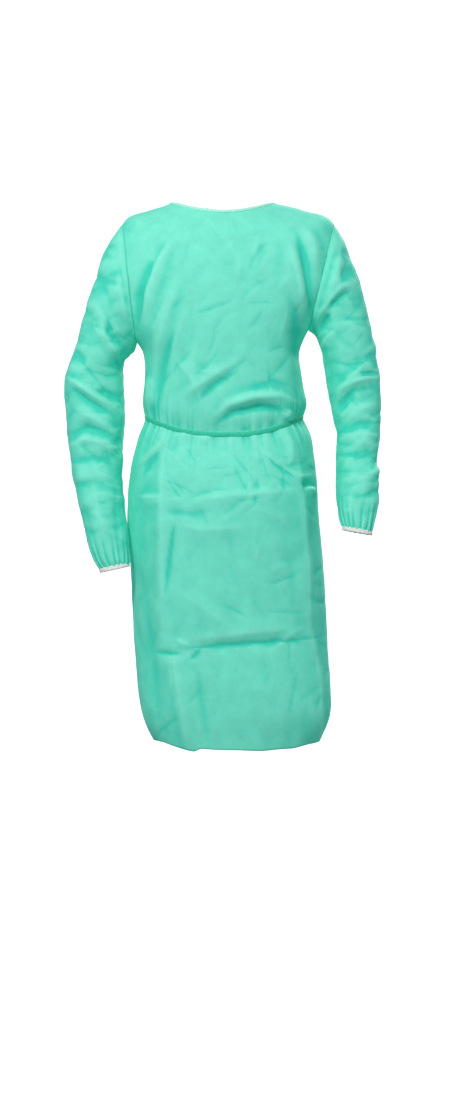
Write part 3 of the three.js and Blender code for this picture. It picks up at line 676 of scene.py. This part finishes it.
def knitted_elastic(name):
    # Knitted elastic: to the eye a soft white band of fine upright ribs, a little fuzzy, with
    # shade between the ribs.
    material = blank(name)
    on_cloth = {"Vector": add_node(material, "ShaderNodeUVMap", {"uv_map": "cloth"}).outputs["UV"]}
    ribs = add_node(material, "ShaderNodeTexWave", {
        "wave_type": "BANDS", "bands_direction": "Y", "Scale": 210.0,
        "Distortion": 0.6, "Detail": 1.0}, on_cloth)
    fuzz = add_node(material, "ShaderNodeTexNoise", {"Scale": 900.0, "Detail": 3.0}, on_cloth)
    both = add_node(material, "ShaderNodeMix", {"Factor": 0.3},
                    {"A": ribs.outputs["Fac"], "B": fuzz.outputs["Fac"]})
    colour = ramp(material, both.outputs["Result"], [(0.1, paint("#D9DED9")), (0.6, paint("#F4F6F2"))])
    surface = add_node(material, "ShaderNodeBsdfPrincipled", {
        "Roughness": 0.85, "Specular IOR Level": 0.25, "Sheen Weight": 0.3})
    return finish_material(material, surface, colour.outputs["Color"], both.outputs["Result"], 0.0004)


def studio_paper(name, colour, glow):
    # Matt studio paper: to the eye one even pale tone.
    material = blank(name)
    surface = add_node(material, "ShaderNodeBsdfPrincipled", {
        "Base Color": paint(colour), "Roughness": 0.9, "Specular IOR Level": 0.1,
        "Emission Color": paint(colour), "Emission Strength": glow})
    add_node(material, "ShaderNodeOutputMaterial", links={"Surface": surface.outputs["BSDF"]})
    return material


# cloth colours: base, painted highlight on creases, painted shade in grooves and on the sides, and its
# painted glow
cloth = nonwoven_cloth("spunbond_nonwoven", "#74D4BC", "#A0E8D6", "#12B9A0", "#00B7A2")
# tape colours: base and two fibre tones; the deeper tone also colours their painted glow
tie_tape = stitched_tape("nonwoven_tie_tape", "#2FC2A0", "#48CEB0", "#1AAA8A", 0.0028)
binding_tape = stitched_tape("nonwoven_binding", "#A2E6D4", "#BDF2E4", "#7DD2BC", 0.0030)
rib_knit = knitted_elastic("white_knitted_elastic")


# ---------------------------------------------------------------- the cloth panels
# The body is three sheets: the front from side seam to side seam, and two back sheets that
# overlap at the middle, the left over the right.
DOWN = even_stations()
# Across the gown, how far the front hem hangs above its even line, or below it if less than zero.
HEM_LINE = ([-140, -118, -100, -76, -58, -46, -20, 28, 72, 100, 129, 160, 182],
            [0, 4, 1, -3, -5, 1, 0, -1, -4, -3, -4, 0, 0])
LENGTH = 1.05  # metres of cloth from neck to hem
AXIS = (0.0, -0.004)  # x and y of the middle of the body


def body_points(start_angle, end_angle, lift=None):
    """Rows and columns of the body's cloth between two edges, each an angle or one per station,
    and its painted light and shade: paler on a crease, deeper in a groove and on the sides."""
    starts = np.broadcast_to(start_angle, DOWN.shape)
    ends = np.broadcast_to(end_angle, DOWN.shape)
    shares = even_angles(starts[len(DOWN) // 2], ends[len(DOWN) // 2])
    angles = starts[:, None] + (ends - starts)[:, None] * shares
    stations = np.repeat(DOWN[:, None], len(shares), axis=1)
    flat_angles, flat_stations = angles.ravel(), stations.ravel()
    raised = seam_dip(flat_angles, flat_stations)
    if lift is not None:
        raised = raised + lift(flat_angles, flat_stations)
    points, out, height = body_cloth(flat_angles, flat_stations, raised)
    # painted shade where the cloth turns sideways, away from the front lamps
    turned = np.clip((np.abs(out[:, 0]) - 0.30) / 0.5, 0, 1)
    slant = np.maximum(turned, outer_panel(points)).reshape(angles.shape)
    x = points[:, 0]
    drop = np.interp(x, HEM_LINE[0], HEM_LINE[1]) * np.clip((flat_stations - 15.2) / 0.8, 0, 1)
    points[:, 2] += drop * (points[:, 1] < 0)
    # painted highlight on creases, painted shade in grooves and on the sides
    crease = pressed(height.reshape(angles.shape)) - 0.5 * slant
    return points.reshape(*angles.shape, 3), np.clip(crease, -1, 1)


def outer_panel(points):
    """Painted shade, deeper in tone, on the skirt beyond its two upright creases, as if its outer panels
    turned from the light.
    """
    x, z = points[:, 0], points[:, 2]
    right_crease = np.interp(z, [-1060, -860, -430], [-66, -112, -122])
    left_crease = np.interp(z, [-1060, -860, -430], [182, 164, 132])
    beyond = np.clip(np.maximum(right_crease - x, x - left_crease) / 9, 0, 1)
    return 0.75 * beyond * np.clip((-452 - z) / 40, 0, 1)


def seam_dip(angle, station):
    """The cloth draws in a little along the side seams and puckers there."""
    radius = 165.0
    gap = (np.abs(angle) - SIDE_SEAM) * radius
    pucker = np.array([noise.noise(Vector((0.0, 2.0, s * 9))) for s in station])
    return -(1.6 + 1.1 * pucker) * np.exp(-(gap / 7) ** 2) * np.clip(station - 0.4, 0, 1)


def outward_from_axis(place):
    return Vector((AXIS[0], AXIS[1], place.z))


ARMHOLES = {
    "right": (Vector((-183.5, 0, -163)) * MM, Vector((-0.994, 0, -0.108)).normalized()),
    "left": (Vector((187, 0, -142)) * MM, Vector((0.973, 0, -0.231)).normalized()),
}
UNDER_ARMPIT = {"right": -0.30, "left": -0.28}  # the height down to which an armhole is cut


def trim_armholes(bm, sides):
    """Takes away the cloth beyond each armhole's plane, down to just below the armpit."""
    for side in sides:
        centre, out = ARMHOLES[side]
        middles = [(face, face.calc_center_median()) for face in bm.faces]
        near = [face for face, middle in middles
                if middle.z > UNDER_ARMPIT[side] and middle.x * SIGN[side] > 0.1]
        parts = list({v for f in near for v in f.verts} | {e for f in near for e in f.edges} | set(near))
        bmesh.ops.bisect_plane(bm, geom=parts, plane_co=centre, plane_no=out, clear_outer=True)


def sew_sheet(name, points, crease, width, sides):
    def build(bm):
        cloth_grid(bm, points, (width, LENGTH), crease=crease)
        bm.normal_update()
        face_away(bm, outward_from_axis)
        trim_armholes(bm, sides)
        bm.normal_update()
    thicken(piece(name, build, cloth))


def back_edge(side):
    return np.array([edge_angle(side, station) for station in DOWN])


def cover_of(angles, stations):
    """How far the cloth on the left of the back stands off, to cover the right."""
    return np.array([cover_lift(a, s) if a > 0 else 0.0 for a, s in zip(angles, stations)])


front_points, front_crease = body_points(-SIDE_SEAM, SIDE_SEAM)
right_points, right_crease = body_points(-SIDE_SEAM, back_edge("right"))
left_points, left_crease = body_points(SIDE_SEAM, back_edge("left"), cover_of)
sew_sheet("front_sheet", front_points, front_crease, 0.60, ("right", "left"))
sew_sheet("back_sheet_right", right_points, right_crease, 0.29, ("right",))
sew_sheet("back_sheet_left", left_points, left_crease, 0.29, ("left",))


# ---------------------------------------------------------------- sleeves
def skin_of(*grids):
    """The uncut cloth as one surface to lay other pieces on."""
    verts, faces = [], []
    for grid in grids:
        rows, columns = grid.shape[:2]
        base = len(verts)
        verts.extend(Vector(p) * MM for p in grid.reshape(-1, 3))
        for r in range(rows - 1):
            for c in range(columns - 1):
                a = base + r * columns + c
                faces.append((a, a + 1, a + columns + 1, a + columns))
    return BVHTree.FromPolygons(verts, faces)


SKIN = skin_of(front_points, right_points, left_points)


def armhole_edge(side, ways):
    """Where each of these directions from the armhole's middle meets the body's cloth."""
    centre, out = ARMHOLES[side]
    edge = []
    for way in ways:
        flat = Vector(way) - out * Vector(way).dot(out)
        flat.normalize()
        hit = SKIN.ray_cast(centre, flat)[0]
        edge.append(np.array(hit if hit else centre + flat * 0.08) / MM)
    return np.array(edge)


def sleeve_frame(side, around):
    """The rings of a sleeve as [ring, point round it], from the outer edge round by the front."""
    rings = SLEEVE_RINGS[side]
    sin, cos = np.sin(around), np.cos(around)
    across = np.sign(cos) * np.abs(cos) ** (2 / SLEEVE_SQUARE)
    forward = np.sign(sin) * np.abs(sin) ** (2 / SLEEVE_SQUARE)
    table = []
    for outer_x, outer_z, inner_x, inner_z, y, depth in rings:
        centre = np.array([(outer_x + inner_x) / 2, y, (outer_z + inner_z) / 2])
        reach = np.array([(outer_x - inner_x) / 2, 0, (outer_z - inner_z) / 2])
        table.append(centre + across[:, None] * reach - forward[:, None] * np.array([0, depth, 0]))
    centre = np.array(ARMHOLES[side][0]) / MM
    table[0] = armhole_edge(side, table[0] - centre)
    return np.array(table)


def sleeve_stations(side):
    """Stations one cloth step apart down a sleeve, and how far down each lies."""
    fine = np.linspace(0, 10, 900)
    rings = smooth_rows(sleeve_frame(side, np.linspace(0, 2 * math.pi, 9)[:-1]), fine)
    gone = np.mean([gone_along(rings[:, i]) for i in range(8)], axis=0)
    stations = evenly(gone, fine)
    return stations, np.linspace(0, gone[-1], len(stations))


def sleeve_points(side):
    """The cloth of a sleeve, and its painted light and shade: paler on a crease, deeper in a groove, on its
    sides and all over.
    """
    stations, gone = sleeve_stations(side)
    around = np.linspace(0, 2 * math.pi, round(SLEEVE_ROUND / CLOTH_STEP) + 1)
    grid = smooth_rows(sleeve_frame(side, around), stations)
    grid[:, -1] = grid[:, 0]
    out = tube_normals(grid[:, :-1])
    out = np.concatenate([out, out[:, :1]], axis=1)
    middle = grid[:, :-1].mean(axis=1, keepdims=True)
    if ((grid - middle) * out).sum() < 0:
        out = -out
    flat, flat_out = grid.reshape(-1, 3), out.reshape(-1, 3)
    to_front = np.clip(0.5 - flat_out[:, 1] * 1.6, 0, 1)
    height = np.zeros(len(flat))
    for fold in SLEEVE_FOLDS[side]:
        height += fold_height(fold, flat[:, 0], flat[:, 2]) * (0.15 + 0.85 * to_front)
    edge = SIGN[side] * 240
    height += fine_creases(flat, 60, 21, (edge - 60, -660), (edge + 50, -80), 0.2 * SIGN[side])
    height += 2.2 * noise_at(flat * (1, 1, 1.3), 60, 5)
    height += 0.9 * noise_at(flat, 26, 6)
    height += 1.8 * crumple(flat * (0.8, 0.8, 1.5), 56, 7)
    rows = np.repeat(gone, len(around))
    columns = np.tile(around, len(stations))
    to_cuff = np.clip((rows - (gone[-1] - 80)) / 80, 0, 1) ** 1.6
    gathers = (np.sin(columns * 17 + 1.1 * np.sin(columns * 3)) + 0.5 * np.sin(columns * 29 + 2))
    height = height * (1 - 0.75 * to_cuff) + 2.0 * gathers * to_cuff * np.clip((gone[-1] - rows) / 5, 0.25, 1)
    height *= np.clip(rows / 26, 0, 1)
    height += -0.8 * np.exp(-(rows / 5) ** 2) + 1.0 * np.exp(-((rows - 7) / 6) ** 2)
    moved = flat + flat_out * height[:, None]
    # painted shade where the sleeve turns sideways and a little all over it; painted highlight on its creases
    slant = np.clip((np.abs(out[..., 0]) - 0.35) / 0.5, 0, 1)
    crease = pressed(height.reshape(slant.shape), closed=True) - 0.45 * slant - 0.2
    return moved.reshape(grid.shape), np.clip(crease, -1, 1)


def sew_sleeve(side):
    points, crease = sleeve_points(side)
    middles = points[:, :-1].mean(axis=1) * MM

    def nearest_middle(place):
        gaps = np.linalg.norm(middles - np.array(place), axis=1)
        return Vector(middles[int(gaps.argmin())])

    def build(bm):
        cloth_grid(bm, points, (0.46, 0.62), closed=True, crease=crease)
        bm.normal_update()
        face_away(bm, nearest_middle)
        bm.normal_update()
    thicken(piece(f"{side}_sleeve_cloth", build, cloth))
    return points


SLEEVES = {side: sew_sleeve(side) for side in SIGN}


# ---------------------------------------------------------------- tapes, seams and bindings
def tape_rows(centre, across, out, width, thickness, puff=0.0):
    """A closed flat profile of this width and thickness swept along a centre line."""
    profile = [(-0.5, -0.5), (-0.25, -0.5), (0.0, -0.5), (0.25, -0.5), (0.5, -0.5), (0.5, 0.5),
               (0.25, 0.5 + puff), (0.0, 0.5 + puff), (-0.25, 0.5 + puff), (-0.5, 0.5), (-0.5, -0.5)]
    return np.stack([centre + across * (u * width) + out * (v * thickness) for u, v in profile], axis=1)


def sew_tape(name, centre, across, out, width, thickness, material, closed=False, puff=0.0):
    """A thin strip along a line. Everything is in millimetres."""
    rows = tape_rows(centre, across, out, width, thickness, puff)
    gone = float(np.linalg.norm(np.diff(centre, axis=0), axis=1).sum()) * MM

    def build(bm):
        cloth_grid(bm, rows, (width * 2 * MM, gone), closed=True)
        if not closed:
            bmesh.ops.holes_fill(bm, edges=[e for e in bm.edges if e.is_boundary], sides=0)
        bmesh.ops.recalc_face_normals(bm, faces=bm.faces)
        bmesh.ops.bevel(bm, geom=[e for e in bm.edges if e.is_manifold and e.calc_face_angle(0) > 1.2],
                        affect="EDGES", offset=thickness * 0.25 * MM, segments=1, profile=0.5, material=-1)
    piece(name, build, material)


def along_body(angles, stations, lift):
    """A line over the cloth with its own out and across directions."""
    points, out, _ = body_cloth(angles, stations, lift)
    way = unit(np.gradient(points, axis=0))
    return points, unit(np.cross(way, out)), out


def lay_round(name, start, end, station, lift, width, thickness, material, puff=0.0, wander=0.0):
    """A strip that runs round the body at one station, from one angle to another."""
    count = max(24, int(abs(end - start) * 170 / 4))
    angles = np.linspace(start, end, count)
    stations = np.full(count, station) + wander * np.sin(angles * 5.3 + 0.7)
    points, across, out = along_body(angles, stations, cover_of(angles, stations) + lift)
    sew_tape(name, points, across, out, width, thickness, material, puff=puff)


SEAM_LIFT, SEAM_WIDTH, SEAM_THICKNESS, SEAM_POINTS = 0.3, 3.0, 1.0, 150


def lay_down(name, side, start, end):
    """A seam that runs down this side of the body, from one station to another."""
    stations = np.linspace(start, end, SEAM_POINTS)
    angles = np.full(SEAM_POINTS, SIGN[side] * SIDE_SEAM)
    points, across, out = along_body(angles, stations, seam_dip(angles, stations) + SEAM_LIFT)
    sew_tape(name, points, across, out, SEAM_WIDTH, SEAM_THICKNESS, cloth)


BINDING = dict(width=6.4, thickness=1.7, material=binding_tape, puff=0.3)
NECK_EDGE = 0.03
for part, start, end in (
    ("front", -SIDE_SEAM, SIDE_SEAM),
    ("right", -SIDE_SEAM, float(edge_angle("right", 0)) + 0.01),
    ("left", SIDE_SEAM, float(edge_angle("left", 0)) - 0.01),
):
    lay_round(f"neck_binding_strip_{part}", start, end, NECK_EDGE, 0.4, **BINDING)

TIE = dict(width=8.2, thickness=1.3, material=tie_tape, puff=0.25, wander=0.02)
for part, start, end in (
    ("front", -SIDE_SEAM, SIDE_SEAM),
    ("right", -SIDE_SEAM, float(back_angle("right", WAIST, 46))),
    ("left", SIDE_SEAM, float(edge_angle("left", WAIST)) - 0.02),
):
    lay_round(f"waist_tie_strip_{part}", start, end, WAIST, 1.6, **TIE)

for side in SIGN:
    lay_down(f"side_seam_{side}", side, 6.1, HEM - 0.12)
for side, end in (("right", 1.7), ("left", 1.8)):
    lay_down(f"shoulder_seam_{side}", side, 0.12, end)


def underarm_seam(side, points):
    """The seam along the inner edge of a sleeve, from the armpit to the wrist."""
    line = points[4:-2, points.shape[1] // 2]
    out = -unit(points[4:-2, 0] - line)
    across = unit(np.cross(unit(np.gradient(line, axis=0)), out))
    sew_tape(f"underarm_seam_{side}", line + out * SEAM_LIFT, across, out, SEAM_WIDTH, SEAM_THICKNESS, cloth)


for side, points in SLEEVES.items():
    underarm_seam(side, points)


WRIST_POINTS = 121


def wrist_band(side, points):
    """A knitted elastic band round the end of a sleeve, gathered with it."""
    ring = points[-1, :-1]
    middle = ring.mean(axis=0)
    way = unit((ring - points[-4, :-1]).mean(axis=0))
    # the ring evened out: the elastic follows the sleeve's end but not each gather
    spread = np.r_[np.linspace(0, 1, len(ring), endpoint=False), 1]
    even = [np.convolve(np.r_[ring[-8:, i], ring[:, i], ring[:8, i]], np.ones(9) / 9, "same")[8:-8]
            for i in range(3)]
    line = np.stack([np.interp(np.linspace(0, 1, WRIST_POINTS), spread, np.r_[values, values[0]])
                     for values in even], axis=1)
    out = unit(line - middle - ((line - middle) @ way)[:, None] * way)
    ruffle = 0.5 * np.sin(np.linspace(0, 2 * math.pi, WRIST_POINTS) * 22)[:, None]
    line = line + way * 1.5 + out * (0.4 + ruffle)
    sew_tape(f"wrist_band_{side}", line, np.broadcast_to(way, line.shape), out, 9.0, 1.8, rib_knit,
             closed=True, puff=0.3)


for side, points in SLEEVES.items():
    wrist_band(side, points)


# ---------------------------------------------------------------- knots, bows and tails
def over_back(x, z, lift):
    """A point over the back of the gown, this far off its cloth."""
    hit = SKIN.ray_cast(Vector((x, 400, min(z, -9))) * MM, Vector((0, -1, 0)))[0]
    return np.array([x, hit.y / MM + lift, z])


def smooth_line(points, count):
    """This many even points on a smooth curve through the given ones, and its length."""
    rows = smooth_rows(points, np.linspace(0, len(points) - 1, count * 3))
    gone = gone_along(rows)
    even = np.linspace(0, gone[-1], count)
    return np.stack([np.interp(even, gone, rows[:, i]) for i in range(3)], axis=1), float(gone[-1])


def turning(line, across, turn):
    """Across and out directions of a strip that turns about its line by these angles."""
    way = unit(np.gradient(line, axis=0))
    side = unit(across - (across * way).sum(axis=1, keepdims=True) * way)
    face = np.cross(way, side)
    turn = np.broadcast_to(turn, len(line))[:, None]
    return side * np.cos(turn) + face * np.sin(turn), face * np.cos(turn) - side * np.sin(turn)


LOOP_POINTS, TAIL_POINTS, WRAP_POINTS = 70, 130, 61


def tie_bow(kind, knot, size, reach, width, material, tail_reach):
    """Two loops, a wrapped knot and two tails. Returns each tail with its line, length and width."""
    tails = []
    for side, way in SIGN.items():
        slope = reach * 0.4
        under = 6.5 + size * 0.7
        over = under + 3
        route = [(size * 0.6, 0, under - 1), (reach * 0.3, -slope * 0.18, under - 1.4),
                 (reach * 0.62, -slope * 0.62, under - 1), (reach * 0.93, -slope * 1.02, under),
                 (reach * 1.0, -slope * 0.86, (under + over) / 2),
                 (reach * 0.9, -slope * 0.66, over + 0.6), (reach * 0.5, -slope * 0.2, over + 1.6),
                 (size * 0.6, 0.5, over)]
        points = [over_back(knot[0] + way * x, knot[2] + z, lift) for x, z, lift in route]
        line, _ = smooth_line(points, LOOP_POINTS)
        across = np.broadcast_to(np.array([way * slope, 0, reach]) / math.hypot(slope, reach), line.shape)
        turn = 0.45 * np.sin(np.linspace(0, math.pi * 2, LOOP_POINTS)) * way
        sides, outs = turning(line, across, turn)
        sew_tape(f"{kind}_bow_loop_{side}", line, sides, outs, width, 0.9, material, puff=0.2)

        route = [(0.75, 0, 0), (1.0, 0.12, 0.8), (1.7, 0.4, 2.0), (1.5, 0.7, 0.6), (2.0, 1, 1.6)]
        top = knot[2] - size - 0.9
        points = [over_back(knot[0] + way * size * out, top - tail_reach[side] * down, 8.2 + lift)
                  for out, down, lift in route]
        line, length = smooth_line(points, TAIL_POINTS)
        twist = np.sin(np.linspace(0, 2.6 * math.pi, TAIL_POINTS))
        turn = way * 0.9 * twist * np.linspace(0.2, 1, TAIL_POINTS)
        sides, outs = turning(line, np.broadcast_to(np.array([1.0, 0, 0]), line.shape), turn)
        sew_tape(f"{kind}_tie_tail_{side}", line, sides, outs, width, 0.8, material, puff=0.2)
        tails.append((PIECES[f"{kind}_tie_tail_{side}"], line, length, width))

    # the knot: a creased lump of tape, pinched in the middle by the wrap that goes round it
    def ball(bm):
        bmesh.ops.create_uvsphere(bm, u_segments=40, v_segments=24, radius=1.0)
        for vertex in bm.verts:
            x, y, z = vertex.co
            uneven = noise.noise(Vector((x * 2.2, y * 2.2, z * 2.2 + size)))
            crease = 0.09 * math.cos(z * 9 + x * 3) + 0.06 * uneven
            pinch = 1 - 0.16 * math.exp(-(x / 0.3) ** 2) * (1 if y > 0 else 0)
            place = Vector((x * (1 + crease), y * 0.62 * (1 + crease) * pinch, z * 0.9 * (1 + crease)))
            vertex.co = place * size * MM
        bmesh.ops.translate(bm, verts=bm.verts, vec=Vector(knot) * MM)
        sheet_map = bm.loops.layers.uv.new("cloth")
        for face in bm.faces:
            for loop in face.loops:
                loop[sheet_map].uv = (loop.vert.co.x, loop.vert.co.z)
    piece(f"{kind}_bow_knot", ball, material)

    turns = np.linspace(0, 2 * math.pi, WRAP_POINTS)
    sin, cos = np.sin(turns), np.cos(turns)
    ring = np.stack([0.12 * size * sin, 0.70 * size * cos, 0.96 * size * sin], axis=1)
    across = np.broadcast_to(np.array([1.0, 0, 0]), ring.shape)
    sew_tape(f"{kind}_knot_wrap", ring + np.array(knot), across, unit(ring), size * 0.95, 0.8, material,
             closed=True, puff=0.3)
    return tails


def knot_place(node):
    low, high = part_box(node)
    return [(low[i] + high[i]) / 2 / MM for i in range(3)]


tails = tie_bow("waist", knot_place("waist_knot"), 7.0, 49, 8.0, tie_tape, {"right": 228, "left": 242})
tails += tie_bow("neck", knot_place("neck_knot"), 5.5, 34, 6.0, binding_tape, {"right": 144.5, "left": 155.5})

# a short run of stitches holds the waist tie at the middle of the front
tack_points, tack_across, tack_out = along_body(
    np.linspace(-0.03, 0.03, 9), np.full(9, WAIST), np.full(9, 2.7))
sew_tape("waist_tie_stitches", tack_points, tack_across, tack_out, 2.6, 0.5, tie_tape)

# ---------------------------------------------------------------- what moves with what
INNER_FOLD = ((-0.115, 0.10, -0.5), (-0.056, 0.10, -0.5))
OUTER_FOLD = ((0.115, 0.10, -0.5), (0.056, 0.10, -0.5))
WAIST_BOW = ("waist_bow_loop_{}", "waist_bow_knot", "waist_knot_wrap")
NECK_BOW = ("neck_bow_loop_{}", "neck_bow_knot", "neck_knot_wrap")

for made in sided("front_sheet", "neck_binding_strip_front", "waist_tie_strip_front", "waist_tie_stitches",
                  "side_seam_{}", "shoulder_seam_{}"):
    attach(made, "gown_body")
for side, flap, fold in (("right", "inner_flap", INNER_FOLD), ("left", "outer_flap", OUTER_FOLD)):
    for name in ("back_sheet", "neck_binding_strip", "waist_tie_strip"):
        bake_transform(PIECES[f"{name}_{side}"])
for made in sided(*WAIST_BOW, *NECK_BOW, "waist_tie_tail_{}", "neck_tie_tail_{}"):
    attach(made, "outer_flap")
for side, (centre, out) in ARMHOLES.items():
    for name in (f"{side}_sleeve_cloth", f"underarm_seam_{side}"):
        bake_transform(PIECES[name])
    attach(PIECES[f"wrist_band_{side}"], f"{side}_arm")

# ---------------------------------------------------------------- what stands for what
# {} is each side in turn
for name, nodes in (
    ("front_sheet", ("front_panel",)),
    ("back_sheet_{}", ("back_panel_{}", "back_flap_{}")),
    ("{}_sleeve_cloth", ("{}_sleeve",)),
    ("neck_binding_strip_front", ("neck_binding_front",)),
    ("neck_binding_strip_{}", ("neck_binding_{}",)),
    ("waist_tie_strip_front", ("waist_tie_front",)),
    ("waist_tie_strip_{}", ("waist_tie_{}",)),
    ("waist_tie_stitches", ("waist_tie_tack",)),
    ("side_seam_{}", ("{}_side_seam",)),
    ("shoulder_seam_{}", ("{}_shoulder_seam",)),
    ("underarm_seam_{}", ("{}_underarm_seam",)),
    ("wrist_band_{}", ("{}_wrist_elastic",)),
    ("waist_bow_loop_{}", ("waist_bow_{}",)),
    ("waist_bow_knot", ("waist_knot",)),
    ("neck_bow_loop_{}", ("neck_bow_{}",)),
    ("neck_bow_knot", ("neck_knot",)),
    ("waist_tie_tail_{}", ("waist_tail_{}",)),
    ("neck_tie_tail_{}", ("neck_tail_{}",)),
):
    for side in (SIGN if "{}" in name else [""]):
        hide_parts(*[node.format(side) for node in nodes])


# ---------------------------------------------------------------- the studio
def studio():
    def shell(bm):
        bmesh.ops.create_uvsphere(bm, u_segments=64, v_segments=48, radius=9)
        for vertex in bm.verts:
            vertex.co.z = max(vertex.co.z, -1.6)
        bmesh.ops.reverse_faces(bm, faces=bm.faces)
    floor = piece("studio_floor", shell, studio_paper("white_studio_paper", "#FDFDFD", 1.0))
    floor.visible_diffuse = False
    floor.visible_glossy = False

    world = bpy.data.worlds.new("studio")
    world.use_nodes = True
    sky = world.node_tree.nodes["Background"]
    sky.inputs["Color"].default_value = (1, 1, 1, 1)
    sky.inputs["Strength"].default_value = 0.22
    bpy.context.scene.world = world

    for name, place, size, power in (
        ("key", (-1.2, -3.4, 2.0), 0.7, 140),
        ("fill", (2.2, -3.4, -0.4), 1.4, 13),
        ("behind", (1.6, 3.2, 1.8), 0.6, 100),
        ("right side", (3.6, 0.4, 0.8), 1.0, 22),
        ("left side", (-3.6, 0.6, 0.6), 1.0, 22),
    ):
        lamp = bpy.data.lights.new(name, "AREA")
        lamp.size = size
        lamp.energy = power
        holder = bpy.data.objects.new(name, lamp)
        holder.location = place
        holder.rotation_euler = (Vector((0, 0, -0.5)) - Vector(place)).to_track_quat("-Z", "Y").to_euler()
        bpy.context.scene.collection.objects.link(holder)
    bpy.context.scene.view_settings.view_transform = "Standard"


studio()
